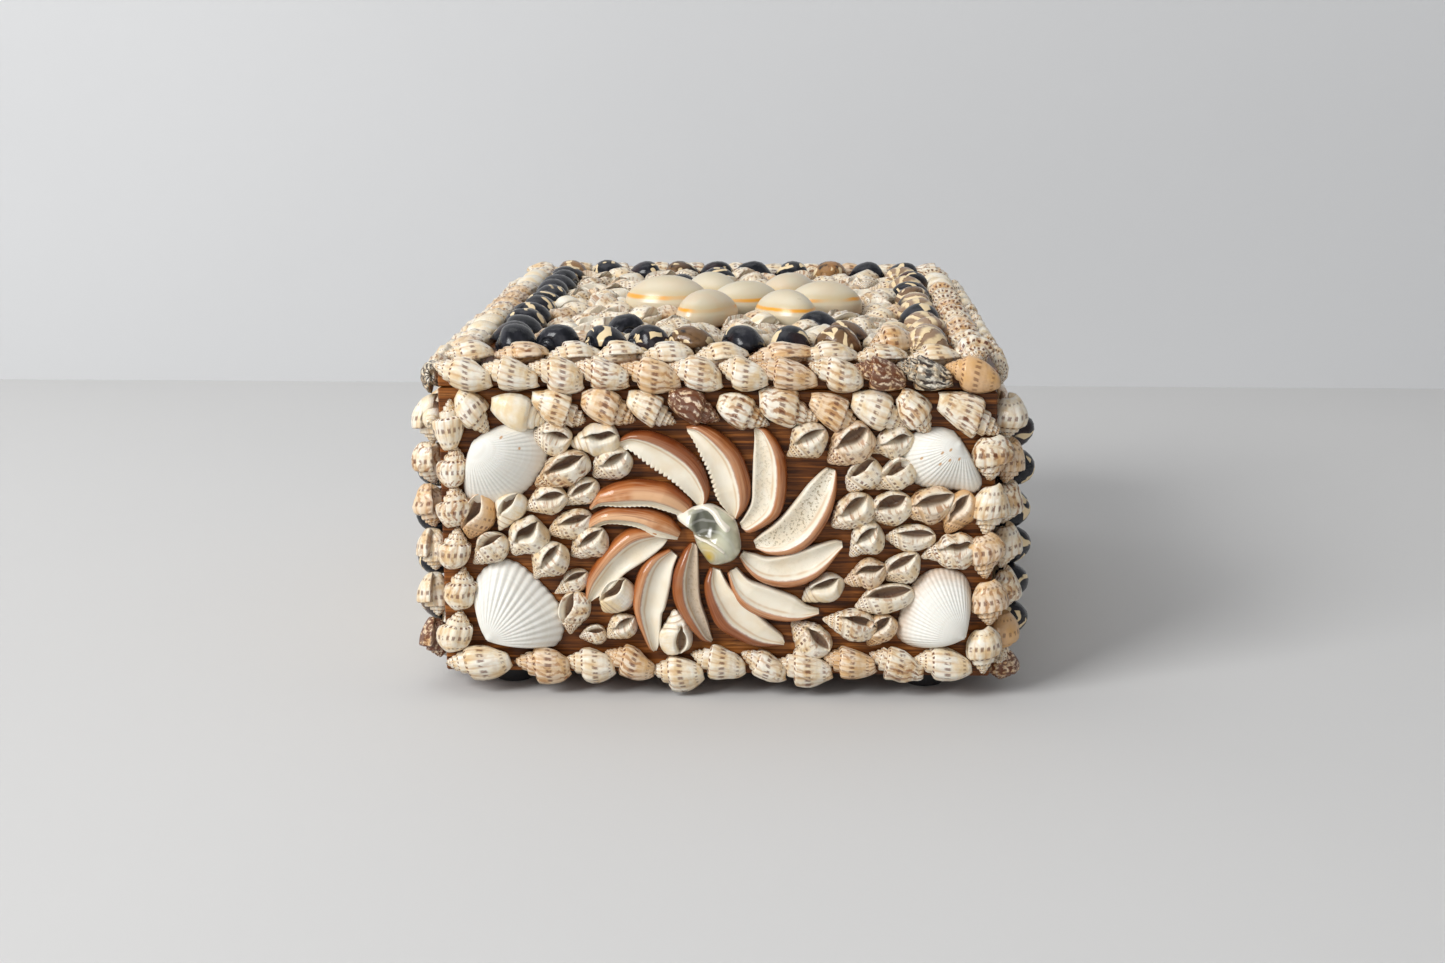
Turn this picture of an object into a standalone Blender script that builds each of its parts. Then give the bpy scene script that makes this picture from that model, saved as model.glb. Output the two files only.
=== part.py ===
"""A wooden keepsake box with a lift-off lid, every face covered in glued seashells.

The box stands on four black feet. X runs across the front, Y from the front to the back, Z up, and
the origin is on the ground under the middle of the box. Sizes below are in millimetres.
Each face has an empty as its frame: x along the face, y up it, z straight out of it.
"""

import math
import random

import bmesh
import bpy
from mathutils import Matrix, Vector

MM = 0.001

# The wooden box
WIDTH = 140.0
DEPTH = 180.0
BODY_HEIGHT = 74.2
WALL = 5.0
FLOOR = 5.0
WOOD_BEVEL = 0.4

# The lid, a board with a panel under it that drops inside the walls
LID_THICKNESS = 5.0
PANEL_DROP = 3.3
PANEL_CLEARANCE = 0.5

# The feet
FOOT_HEIGHT = 5.5
FOOT_DIAMETER = 12.5
SOLE_DIAMETER = 10.0
FOOT_INSET_X = 16.0
FOOT_INSET_Y = 12.0
FOOT_STEPS = 12

# Every glued piece stands this far off what it is glued to, and this far from its neighbours
GAP = 0.3
ROOM = 0.4

# Rows of spindle-shaped shells, laid end to end
ROW_WIDTH = 9.2
ROW_HEIGHT = 6.3
ROW_PITCH = 11.8
TOP_ROW_DROP = 5.2
BOTTOM_ROW_LEVEL = 3.6
TOP_ROW_LEAN = 0.28
NECK = 0.34
SHOULDER = 0.52
BODY = 0.2
BODY_WIDTH = 0.8

# Rows round the lid: one on the edge of the board and one on top of it
RIM_WIDTH = 8.4
RIM_HEIGHT = 6.0
BORDER_WIDTH = 8.8
BORDER_HEIGHT = 5.0
BORDER_PITCH = 13.0
BORDER_MARGIN = 0.8
GLUE_LENGTH = 5.0
GLUE_NEAR = 0.5
GLUE_FAR = 1.6

# Ring of round nerite shells inside the border
NERITE_WIDTH = 11.2
NERITE_HEIGHT = 7.6
NERITE_PITCH = 11.7

# Larger nerites in a column beside each corner of the two long sides
SIDE_NERITE_WIDTH = 13.2
SIDE_NERITE_HEIGHT = 11.0
SIDE_NERITE_PITCH = 13.6

# Small shells packed over the lid, the two long sides and the back
LID_FILL_CELL = 13.2
PANEL_FILL_CELL = 13.8
LID_FILL_HEIGHT = 5.2
PANEL_FILL_HEIGHT = 6.0
FILL_BED = 0.6
FILL_MARGIN = 0.8

# Seven ring cowries laid out as a flower on the lid, drawn for an inner field of this size, and
# larger or smaller with it
LID_FIELD = (96.0, 136.0)
COWRIE_LENGTH = 22.0
COWRIE_WIDTH = 15.6
COWRIE_HEIGHT = 10.5
COWRIE_SPACING = 0.8
FLOWER_CENTRE = (5.0, -2.0)
CENTRE_ANGLE = 20.0
PETAL_ANGLES = (0.0, 56.0, 118.0, 180.0, 242.0, 302.0)

# The front's pinwheel, cockles and small shells are laid out for a field of this size, centred
# on x = 0 at this level, and shrink or grow together with the room between the rows
FRONT_FIELD = (120.8, 54.8)
FIELD_LEVEL = 36.3

# Cockles in the corners of the front, each with its beak to the corner of the face
COCKLE_SIZE = 19.2
COCKLE_HEIGHT = 7.2
COCKLE_RIBS = 9
COCKLE_SPREAD = math.radians(156.0)
COCKLES = (
    ("cockle_top_left", -51.2, 53.6, 315.0),
    ("cockle_bottom_left", -50.4, 19.0, 45.0),
    ("cockle_top_right", 50.8, 53.8, 225.0),
    ("cockle_bottom_right", 50.6, 18.8, 135.0),
)

# Crescents cut from cowrie lips, set as a pinwheel: outer tip, inner end, bulge, width
BLADE_HEIGHT = 5.2
BLADE_STATIONS = 6
BLADES = (
    ((-25.5, 59.0), (-5.0, 46.5), 5.2, 7.0),
    ((-7.5, 62.5), (3.4, 45.8), 4.6, 6.6),
    ((11.0, 62.5), (7.6, 42.6), 4.6, 6.4),
    ((28.0, 53.5), (10.4, 36.8), 4.4, 6.6),
    ((31.5, 35.4), (9.4, 31.6), 4.4, 6.0),
    ((26.0, 19.5), (5.6, 27.8), 4.4, 6.0),
    ((17.5, 10.5), (0.6, 27.6), 4.6, 6.0),
    ((-0.5, 10.4), (-4.2, 28.6), 3.4, 4.8),
    ((-15.0, 9.4), (-10.4, 31.0), 4.0, 6.2),
    ((-32.0, 19.6), (-13.6, 34.2), 4.4, 6.4),
    ((-33.5, 37.4), (-10.4, 38.2), 2.6, 3.6),
    ((-32.5, 43.2), (-8.0, 43.8), 4.0, 4.8),
)

# The thin shell on the hub of the pinwheel
HUB_CENTRE = (0.0, 37.2)
HUB_WIDTH = 11.0
HUB_LENGTH = 13.6
HUB_HEIGHT = 7.8
HUB_TURN = math.radians(75.0)

# Small shells glued mouth up on the front: across, up, length, width, turn in degrees
LEFT_FILL = (
    (-36.4, 59.4, 8.0, 6.0, -10),
    (-32.4, 57.4, 8.4, 5.8, 10),
    (-31.4, 50.4, 8.6, 6.0, 35),
    (-37.2, 51.2, 9.8, 6.2, 30),
    (-37.0, 44.8, 9.0, 5.6, 20),
    (-45.0, 40.6, 9.0, 6.6, 20),
    (-56.0, 40.8, 9.0, 6.4, 70),
    (-50.4, 40.8, 9.0, 6.4, 60),
    (-39.4, 39.0, 9.0, 6.0, 20),
    (-47.6, 33.6, 9.0, 7.4, 45),
    (-40.0, 32.4, 9.0, 7.0, 40),
    (-56.2, 32.6, 9.0, 7.4, 40),
    (-33.0, 30.4, 9.0, 6.0, 20),
    (-37.8, 24.6, 8.0, 5.4, 80),
    (-36.6, 14.6, 9.0, 6.0, 80),
    (-30.2, 12.2, 7.0, 5.2, 10),
    (-24.4, 16.8, 8.0, 6.4, 50),
    (-23.0, 11.6, 7.4, 5.4, 35),
)
RIGHT_FILL = (
    (21.4, 58.2, 9.6, 7.4, 35),
    (31.6, 58.0, 10.4, 7.6, 40),
    (38.4, 59.0, 8.0, 6.0, 30),
    (36.2, 51.2, 9.6, 7.0, 45),
    (34.4, 43.0, 9.6, 7.0, 40),
    (42.6, 42.6, 9.6, 7.4, 35),
    (50.6, 40.6, 9.6, 7.0, 20),
    (57.0, 40.4, 8.6, 6.0, 60),
    (38.6, 34.6, 9.6, 7.6, 45),
    (47.4, 33.4, 9.6, 6.4, 0),
    (55.6, 32.4, 9.6, 7.2, 10),
    (34.8, 26.6, 9.6, 7.0, 20),
    (38.2, 20.8, 9.0, 5.4, 66),
    (28.6, 26.8, 8.0, 5.4, 30),
    (32.4, 14.8, 9.6, 7.0, -10),
    (23.6, 13.2, 8.6, 6.6, -40),
    (38.8, 12.6, 7.0, 5.4, 70),
)
WHITE_SHELL = (-9.6, 13.8, 9.0, 5.6, 95)
FILL_DEPTH = 5.4
WEB_WIDTH = 2.0
WEB_HEIGHT = 1.2
WEB_LIFT = 0.25

WOOD_BASE = FOOT_HEIGHT
LID_BASE = BODY_HEIGHT + GAP
LID_TOP = LID_BASE + LID_THICKNESS
ROW_SIZE = (ROW_WIDTH, ROW_HEIGHT)
RIM_SIZE = (RIM_WIDTH, RIM_HEIGHT)
BORDER_SIZE = (BORDER_WIDTH, BORDER_HEIGHT)
ROW_END = ROW_WIDTH + ROOM
COLUMN_INSET = ROW_WIDTH / 2 - GAP
TOP_ROW_LEVEL = BODY_HEIGHT - TOP_ROW_DROP
LOW = BOTTOM_ROW_LEVEL + ROW_WIDTH / 2 + ROOM
HIGH = TOP_ROW_LEVEL - ROW_WIDTH / 2 - 2 * ROOM
BORDER_INSET = BORDER_MARGIN + BORDER_WIDTH / 2
NERITE_INSET = BORDER_MARGIN + BORDER_WIDTH + ROOM + NERITE_WIDTH / 2
LID_FILL_INSET = NERITE_INSET + NERITE_WIDTH / 2 + FILL_MARGIN
SIDE_NERITE_INSET = ROW_END + SIDE_NERITE_WIDTH / 2
LID_SCALE = min((WIDTH - 2 * LID_FILL_INSET) / LID_FIELD[0], (DEPTH - 2 * LID_FILL_INSET) / LID_FIELD[1])
FLOWER_RADIUS = (COWRIE_LENGTH + COWRIE_SPACING) * LID_SCALE
FLOWER_CLEARING = FLOWER_RADIUS + COWRIE_LENGTH * LID_SCALE / 2 + ROOM
FIELD_SCALE = min((WIDTH - 2 * ROW_END) / FRONT_FIELD[0], (HIGH - LOW) / FRONT_FIELD[1])

HALF = {"front": WIDTH / 2, "back": WIDTH / 2, "left": DEPTH / 2, "right": DEPTH / 2}
FRAMES = {
    "front": ((0.0, -DEPTH / 2, WOOD_BASE), (90.0, 0.0, 0.0)),
    "right": ((WIDTH / 2, 0.0, WOOD_BASE), (90.0, 0.0, 90.0)),
    "back": ((0.0, DEPTH / 2, WOOD_BASE), (90.0, 0.0, 180.0)),
    "left": ((-WIDTH / 2, 0.0, WOOD_BASE), (90.0, 0.0, -90.0)),
    "top": ((0.0, 0.0, WOOD_BASE + LID_TOP), (0.0, 0.0, 0.0)),
}
CORNERS = (("front", "right"), ("right", "back"), ("back", "left"), ("left", "front"))

# Cross-sections of a shell glued flat side down: half widths and heights
ARCH = ((-1.0, 0.0), (-0.62, 0.94), (0.62, 0.94), (1.0, 0.0))

COLOURS = {
    "varnished_wood": ((0.115, 0.032, 0.012), 0.32),
    "black_rubber": ((0.012, 0.012, 0.013), 0.6),
    "speckled_shell": ((0.72, 0.6, 0.42), 0.3),
    "cream_shell": ((0.8, 0.72, 0.57), 0.3),
    "white_shell": ((0.84, 0.81, 0.74), 0.4),
    "salmon_lip": ((0.56, 0.27, 0.13), 0.22),
    "black_nerite": ((0.022, 0.022, 0.028), 0.18),
    "ring_cowrie": ((0.8, 0.73, 0.55), 0.16),
    "green_shell": ((0.5, 0.52, 0.4), 0.25),
}


def clear_scene():
    for obj in list(bpy.data.objects):
        bpy.data.objects.remove(obj, do_unlink=True)


def new_collection(name):
    collection = bpy.data.collections.new(name)
    bpy.context.scene.collection.children.link(collection)
    return collection


def make_materials():
    made = {}
    for name, (colour, roughness) in COLOURS.items():
        material = bpy.data.materials.new(name)
        material.use_nodes = True
        shader = material.node_tree.nodes["Principled BSDF"]
        shader.inputs["Base Color"].default_value = (*colour, 1.0)
        shader.inputs["Roughness"].default_value = roughness
        shader.inputs["Metallic"].default_value = 0.0
        made[name] = material
    return made


def make_frames(collection):
    frames = {}
    for name, (origin, turn) in FRAMES.items():
        empty = bpy.data.objects.new(name + "_frame", None)
        empty.location = Vector(origin) * MM
        empty.rotation_euler = [math.radians(angle) for angle in turn]
        collection.objects.link(empty)
        frames[name] = empty
    return frames


class Builder:
    """Makes the objects and keeps the collections, materials and frames they share."""

    def __init__(self):
        self.parts = new_collection("shell_box")
        self.cutters = new_collection("cutters")
        self.materials = make_materials()
        self.frames = make_frames(self.parts)

    def add(self, name, bm, material=None, frame=None, smooth=True):
        """An object from a mesh in millimetres. Without a material it is a helper for a Boolean."""
        bmesh.ops.scale(bm, vec=(MM, MM, MM), verts=bm.verts)
        bmesh.ops.recalc_face_normals(bm, faces=bm.faces)
        mesh = bpy.data.meshes.new(name)
        bm.to_mesh(mesh)
        bm.free()
        if smooth:
            mesh.shade_smooth()
            mesh.set_sharp_from_angle(angle=math.radians(48.0))
        obj = bpy.data.objects.new(name, mesh)
        if frame:
            obj.parent = self.frames[frame]
        if material:
            mesh.materials.append(self.materials[material])
            self.parts.objects.link(obj)
        else:
            obj.hide_render = True
            obj.display_type = "WIRE"
            self.cutters.objects.link(obj)
        return obj


def boolean(obj, other, operation):
    modifier = obj.modifiers.new(operation.lower(), "BOOLEAN")
    modifier.operation = operation
    modifier.solver = "EXACT"
    modifier.use_self = operation == "UNION"
    modifier.object = other


def block(size, centre):
    bm = bmesh.new()
    bmesh.ops.create_cube(bm, size=1.0)
    bmesh.ops.scale(bm, vec=size, verts=bm.verts)
    bmesh.ops.translate(bm, vec=centre, verts=bm.verts)
    return bm


def loft(bm, rings, closed=False):
    """Skins the rings in order, with a flat cap on each end unless the last joins the first."""
    made = [[bm.verts.new(point) for point in ring] for ring in rings]
    pairs = list(zip(made, made[1:]))
    if closed:
        pairs.append((made[-1], made[0]))
    for one, two in pairs:
        for i in range(len(one)):
            j = (i + 1) % len(one)
            bm.faces.new((one[i], one[j], two[j], two[i]))
    if not closed:
        bm.faces.new(made[0])
        bm.faces.new(made[-1])


def arch_ring(place, section, x, y, width, height):
    """One cross-section of a shell at x along it, standing across its frame."""
    return [place @ Vector((x, y + a * width / 2, b * height)) for a, b in section]


def chain(bm, place, length, size, lean=0.0, full=True, seed=0, pitch=ROW_PITCH):
    """Spindle shells nose to tail from x = 0 to the length, spires towards +x.

    A full shell has a ring more, which rounds its body."""
    rng = random.Random(seed)
    width, height = size
    count = max(2, round(length / pitch))
    pitch = length / count
    rings = []
    for i in range(count):
        scale = rng.uniform(0.92, 1.0)
        stations = [(0.0, NECK), (BODY, BODY_WIDTH * scale), (SHOULDER, scale)]
        if not full:
            stations.pop(1)
        for at, share in stations:
            x = (i + at) * pitch
            y = lean * pitch * (0.5 - at) * 0.6
            rings.append(arch_ring(place, ARCH, x, y, width * share, height * share))
    rings.append(arch_ring(place, ARCH, length, 0.0, width * NECK * 0.7, height * NECK * 0.7))
    loft(bm, rings)


def row_mesh(start, end, level, size, lean, reverse, full, seed):
    """A horizontal chain on a face, from start to end along it."""
    bm = bmesh.new()
    place = Matrix.Translation((start, level, GAP))
    if reverse:
        place = Matrix.Translation((end, level, GAP)) @ Matrix.Rotation(math.pi, 4, "Z")
    chain(bm, place, end - start, size, lean, full, seed)
    return bm


def column_mesh(across, foot, top, spires_up, full, seed):
    """A vertical chain on a face, its spires up or down."""
    bm = bmesh.new()
    if spires_up:
        place = Matrix.Translation((across, foot, GAP)) @ Matrix.Rotation(math.pi / 2, 4, "Z")
    else:
        place = Matrix.Translation((across, top, GAP)) @ Matrix.Rotation(-math.pi / 2, 4, "Z")
    chain(bm, place, top - foot, ROW_SIZE, 0.0, full, seed)
    return bm


def on_field(across, up):
    """A point of the front's layout, moved with the room between the rows."""
    return across * FIELD_SCALE, (LOW + HIGH) / 2 + (up - FIELD_LEVEL) * FIELD_SCALE


def spindle(bm, item):
    """One small shell of the front's layout: a point at each end and two arched rings between."""
    across, up, length, width, turn = item
    place = Matrix.Translation((*on_field(across, up), GAP))
    place = place @ Matrix.Rotation(math.radians(turn), 4, "Z")
    length, width, height = length * FIELD_SCALE, width * FIELD_SCALE, FILL_DEPTH * FIELD_SCALE
    tip = bm.verts.new(place @ Vector((length / 2, 0.0, height * 0.34)))
    nose = bm.verts.new(place @ Vector((-length / 2, 0.0, height * 0.3)))
    stations = ((0.1, 1.0), (-0.26, 0.82))
    rings = []
    for at, share in stations:
        ring = arch_ring(place, ARCH, at * length, 0.0, width * share, height * share)
        rings.append([bm.verts.new(point) for point in ring])
    for i in range(len(ARCH)):
        j = (i + 1) % len(ARCH)
        bm.faces.new((rings[0][i], rings[0][j], tip))
        bm.faces.new((rings[0][j], rings[0][i], rings[1][i], rings[1][j]))
        bm.faces.new((rings[1][j], rings[1][i], nose))


def strip(bm, start, end):
    """A ridge of glue between two points of the front's layout."""
    a = Vector((*on_field(*start), GAP + WEB_LIFT))
    b = Vector((*on_field(*end), GAP + WEB_LIFT))
    along = (b - a).normalized()
    side = Vector((-along.y, along.x, 0.0)) * WEB_WIDTH / 2
    up = Vector((0.0, 0.0, WEB_HEIGHT))
    loft(bm, [[p - side, p + side, p + up] for p in (a, b)])


def nearest_links(points):
    """Pairs that join all the points with the shortest links, each to the nearest one joined."""
    joined = [0]
    links = []
    while len(joined) < len(points):
        rest = [i for i in range(len(points)) if i not in joined]
        pairs = [(i, j) for i in rest for j in joined]
        pair = min(pairs, key=lambda p: math.dist(points[p[0]], points[p[1]]))
        links.append(pair)
        joined.append(pair[0])
    return links


def front_fill(builder, name, table):
    """Small shells where the pinwheel leaves room, joined by thin ridges of glue."""
    main = bmesh.new()
    spindle(main, table[0])
    rest = bmesh.new()
    for item in table[1:]:
        spindle(rest, item)
    for i, j in nearest_links([item[:2] for item in table]):
        strip(rest, table[i][:2], table[j][:2])
    obj = builder.add(name, main, "cream_shell", "front")
    boolean(obj, builder.add(name + "_rest", rest, None, "front"), "UNION")


def cobbles(size, cell, rise, centre=(0.0, 0.0), hole=None, full=True, seed=0):
    """A bed of glue packed with small shells, each a ridged bump over one cell of a loose grid."""
    rng = random.Random(seed)
    bm = bmesh.new()
    columns, rows = (max(1, round(length / cell)) for length in size)
    step = (size[0] / columns, size[1] / rows)
    tops, feet = {}, {}
    for i in range(columns + 1):
        for j in range(rows + 1):
            inner = 0 < i < columns and 0 < j < rows
            shift = [rng.uniform(-0.14, 0.14) * step[k] * inner for k in (0, 1)]
            x = centre[0] + i * step[0] - size[0] / 2 + shift[0]
            y = centre[1] + j * step[1] - size[1] / 2 + shift[1]
            tops[i, j] = bm.verts.new((x, y, GAP + FILL_BED))
            feet[i, j] = bm.verts.new((x, y, GAP))
    kept = set()
    for i in range(columns):
        for j in range(rows):
            ring = [tops[i, j], tops[i + 1, j], tops[i + 1, j + 1], tops[i, j + 1]]
            middle = sum((v.co for v in ring), Vector()) / 4
            if not hole or min(math.dist(v.co[:2], hole[0]) for v in ring) > hole[1]:
                kept.add((i, j))
                bump(bm, ring, middle, rise * rng.uniform(0.86, 1.0), rng.random() < 0.5, full)
    for i, j in kept:
        bm.faces.new((feet[i, j], feet[i, j + 1], feet[i + 1, j + 1], feet[i + 1, j]))
        sides = (
            ((i, j), (i + 1, j), (i, j - 1)),
            ((i + 1, j), (i + 1, j + 1), (i + 1, j)),
            ((i + 1, j + 1), (i, j + 1), (i, j + 1)),
            ((i, j + 1), (i, j), (i - 1, j)),
        )
        for one, two, beyond in sides:
            if beyond not in kept:
                bm.faces.new((tops[one], tops[two], feet[two], feet[one]))
    bmesh.ops.delete(bm, geom=[v for v in bm.verts if not v.link_faces], context="VERTS")
    return bm


def bump(bm, ring, middle, rise, crosswise, full):
    """A shell over one cell: a shoulder inside its edge where it is full, then a short ridge."""
    inner = ring
    if full:
        inner = []
        for corner in ring:
            point = middle.lerp(corner.co, 0.74)
            point.z += rise * 0.62
            inner.append(bm.verts.new(point))
        for i in range(4):
            j = (i + 1) % 4
            bm.faces.new((ring[i], ring[j], inner[j], inner[i]))
    order = inner[1:] + inner[:1] if crosswise else inner
    ends = []
    for one, two in ((order[0], order[1]), (order[2], order[3])):
        point = middle.lerp((one.co + two.co) / 2, 0.42)
        point.z = middle.z + rise
        ends.append(bm.verts.new(point))
    bm.faces.new((order[0], order[1], ends[0]))
    bm.faces.new((order[2], order[3], ends[1]))
    bm.faces.new((order[1], order[2], ends[1], ends[0]))
    bm.faces.new((order[3], order[0], ends[0], ends[1]))


def nerite_chain(bm, place, length):
    """Round shells in a straight column, one bead to each pitch."""
    count = max(1, round(length / SIDE_NERITE_PITCH))
    rings = []
    width, height, neck = SIDE_NERITE_WIDTH, SIDE_NERITE_HEIGHT, 0.46
    for i in range(count):
        for at, share in ((0.0, neck), (0.3, 1.0), (0.7, 1.0)):
            x = (i + at) * length / count
            rings.append(arch_ring(place, ARCH, x, 0.0, width * share, height * share))
    rings.append(arch_ring(place, ARCH, length, 0.0, width * neck, height * neck))
    loft(bm, rings)


def nerite_ring(builder):
    """One closed ring of nerites round the lid, inside the border."""
    half_x = WIDTH / 2 - NERITE_INSET
    half_y = DEPTH / 2 - NERITE_INSET
    rings = []
    for (x, y), (dx, dy), half in (
        ((-half_x, -half_y), (1, 0), half_x),
        ((half_x, -half_y), (0, 1), half_y),
        ((half_x, half_y), (-1, 0), half_x),
        ((-half_x, half_y), (0, -1), half_y),
    ):
        count = round(2 * half / NERITE_PITCH)
        pitch = 2 * half / count
        along = Vector((dx, dy, 0.0))
        outward = Vector((dy, -dx, 0.0))
        for i in range(count):
            for at, share in ((0.0, 1.0), (0.5, 0.42)):
                facing = outward
                if i == 0 and at == 0.0:
                    facing = outward + Vector((-dx, -dy, 0.0))
                centre = Vector((x, y, GAP)) + along * (i + at) * pitch
                wide = facing * NERITE_WIDTH / 2 * share
                tall = Vector((0.0, 0.0, NERITE_HEIGHT * share))
                rings.append([centre + wide * a + tall * b for a, b in ARCH])
    bm = bmesh.new()
    loft(bm, rings, closed=True)
    builder.add("lid_nerite_ring", bm, "black_nerite", "top")


def cowrie_mesh():
    """A domed oval with a flared margin round its flat base."""
    bm = bmesh.new()
    sides = 8
    profile = ((0.93, 0.0), (1.0, 0.14), (0.84, 0.36), (0.56, 0.86))
    made = []
    for share, rise in profile:
        ring = []
        for i in range(sides):
            angle = math.tau * i / sides
            stretch = 1.0 - 0.12 * math.cos(angle)
            x = COWRIE_LENGTH / 2 * math.cos(angle) * share * LID_SCALE
            y = COWRIE_WIDTH / 2 * math.sin(angle) * share * stretch * LID_SCALE
            ring.append(bm.verts.new((x, y, rise * COWRIE_HEIGHT * LID_SCALE)))
        made.append(ring)
    crown = bm.verts.new((-0.6 * LID_SCALE, 0.0, COWRIE_HEIGHT * LID_SCALE))
    bm.faces.new(made[0])
    for one, two in zip(made, made[1:]):
        for i in range(sides):
            j = (i + 1) % sides
            bm.faces.new((one[i], one[j], two[j], two[i]))
    for i in range(sides):
        bm.faces.new((made[-1][i], made[-1][(i + 1) % sides], crown))
    return bm


def cockle_mesh():
    """A ribbed fan, its beak at the origin and its ribs spreading towards +x."""
    bm = bmesh.new()
    steps = 2 * COCKLE_RIBS
    size = COCKLE_SIZE * FIELD_SCALE
    beak = bm.verts.new((0.0, 0.0, COCKLE_HEIGHT * 0.62))
    under = bm.verts.new((size * 0.3, 0.0, 0.0))
    back = bm.verts.new((0.0, 0.0, 0.0))
    mid, edge, foot = [], [], []
    for i in range(steps + 1):
        angle = COCKLE_SPREAD * (i / steps - 0.5)
        reach = size * math.cos(angle) ** 0.72
        groove = 0.0 if i % 2 else 1.0
        ray = Vector((math.cos(angle), math.sin(angle), 0.0))
        crest = COCKLE_HEIGHT * (0.9 + 0.08 * groove)
        mid.append(bm.verts.new(ray * reach * 0.5 + Vector((0.0, 0.0, crest))))
        rim = reach * (0.95 + 0.05 * groove)
        edge.append(bm.verts.new(ray * rim + Vector((0.0, 0.0, 1.2 + 0.4 * groove))))
        foot.append(bm.verts.new(ray * reach * 0.93))
    for i in range(steps):
        bm.faces.new((beak, mid[i], mid[i + 1]))
        bm.faces.new((mid[i], edge[i], edge[i + 1], mid[i + 1]))
        bm.faces.new((edge[i], foot[i], foot[i + 1], edge[i + 1]))
        bm.faces.new((foot[i], under, foot[i + 1]))
    for end in (0, -1):
        bm.faces.new((beak, back, foot[end], edge[end], mid[end]))
        bm.faces.new((back, under, foot[end]))
    return bm


def blade_mesh(tip, end, bulge, width):
    """A crescent: a rounded rim along its outer curve and a dished face falling to the inner one."""
    bm = bmesh.new()
    tip, end = Vector(on_field(*tip)), Vector(on_field(*end))
    bulge, width = bulge * FIELD_SCALE, width * FIELD_SCALE
    chord = end - tip
    side = Vector((-chord.y, chord.x)).normalized()
    rings = []
    for i in range(BLADE_STATIONS):
        t = i / (BLADE_STATIONS - 1)
        swell = math.sin(math.pi * t)
        middle = tip.lerp(end, t) + side * bulge * (swell - 0.35)
        here = width * (0.3 + 0.7 * swell ** 0.7)
        tall = BLADE_HEIGHT * (0.6 + 0.4 * swell ** 0.5)
        turn = -math.pi * 0.22 * math.cos(math.pi * t)
        out = Matrix.Rotation(-turn, 2) @ side
        ring = []
        for across, rise in ((0.5, 0.0), (0.36, 0.96), (-0.04, 0.78), (-0.5, 0.6), (-0.46, 0.0)):
            point = middle + out * across * here
            ring.append((point.x, point.y, GAP + rise * tall))
        rings.append(ring)
    loft(bm, rings)
    return bm


def hub_mesh():
    """The thin oval shell on the hub, a shallow dome leaning out."""
    bm = bmesh.new()
    sides = 12
    made = []
    for share, rise in ((0.86, 0.0), (1.0, 0.5), (0.8, 0.82), (0.42, 0.98)):
        ring = []
        for i in range(sides):
            angle = math.tau * i / sides
            x = HUB_LENGTH / 2 * share * math.cos(angle)
            y = HUB_WIDTH / 2 * share * math.sin(angle) * (1.0 + 0.1 * math.cos(angle))
            ring.append((x * FIELD_SCALE, y * FIELD_SCALE, rise * HUB_HEIGHT))
        made.append(ring)
    loft(bm, made)
    return bm


def make_box(builder):
    wood_z = WOOD_BASE + BODY_HEIGHT / 2
    outer = block((WIDTH, DEPTH, BODY_HEIGHT), (0, 0, wood_z))
    body = builder.add("box_body", outer, "varnished_wood", smooth=False)
    inner = (WIDTH - 2 * WALL, DEPTH - 2 * WALL, BODY_HEIGHT)
    boolean(body, builder.add("cavity", block(inner, (0, 0, wood_z + FLOOR)), smooth=False), "DIFFERENCE")
    bevel(body)
    lid_z = WOOD_BASE + LID_BASE + LID_THICKNESS / 2
    board = block((WIDTH, DEPTH, LID_THICKNESS), (0, 0, lid_z))
    lid = builder.add("lid", board, "varnished_wood", smooth=False)
    overlap = 1.0
    panel_size = (inner[0] - 2 * PANEL_CLEARANCE, inner[1] - 2 * PANEL_CLEARANCE, PANEL_DROP + overlap)
    panel_z = WOOD_BASE + LID_BASE - PANEL_DROP + panel_size[2] / 2
    panel = builder.add("lid_panel", block(panel_size, (0, 0, panel_z)), smooth=False)
    boolean(lid, panel, "UNION")
    bevel(lid)


def bevel(obj):
    modifier = obj.modifiers.new("edges", "BEVEL")
    modifier.width = WOOD_BEVEL * MM
    modifier.segments = 1
    modifier.limit_method = "ANGLE"
    modifier.harden_normals = False


def make_feet(builder):
    """Turned feet: a flat sole, a rounded side and a flat top under the floor."""
    sole, widest = SOLE_DIAMETER / 2, FOOT_DIAMETER / 2
    top = FOOT_HEIGHT - GAP
    profile = (
        (0.0, top),
        (widest * 0.92, top),
        (widest, top * 0.62),
        (widest * 0.94, top * 0.22),
        (sole, 0.0),
        (0.0, 0.0),
    )
    mesh = bpy.data.meshes.new("foot")
    points = [(x * MM, 0.0, z * MM) for x, z in profile]
    mesh.from_pydata(points, [(i, i + 1) for i in range(len(points) - 1)], [])
    mesh.materials.append(builder.materials["black_rubber"])
    for name, x, y in (
        ("foot_front_left", -1, -1),
        ("foot_front_right", 1, -1),
        ("foot_back_left", -1, 1),
        ("foot_back_right", 1, 1),
    ):
        foot = bpy.data.objects.new(name, mesh)
        foot.location = (x * (WIDTH / 2 - FOOT_INSET_X) * MM, y * (DEPTH / 2 - FOOT_INSET_Y) * MM, 0.0)
        builder.parts.objects.link(foot)
        screw = foot.modifiers.new("turn", "SCREW")
        screw.axis = "Z"
        screw.steps = FOOT_STEPS
        screw.render_steps = FOOT_STEPS
        screw.use_merge_vertices = True
        screw.merge_threshold = 0.00001
        screw.use_smooth_shade = True


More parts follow.
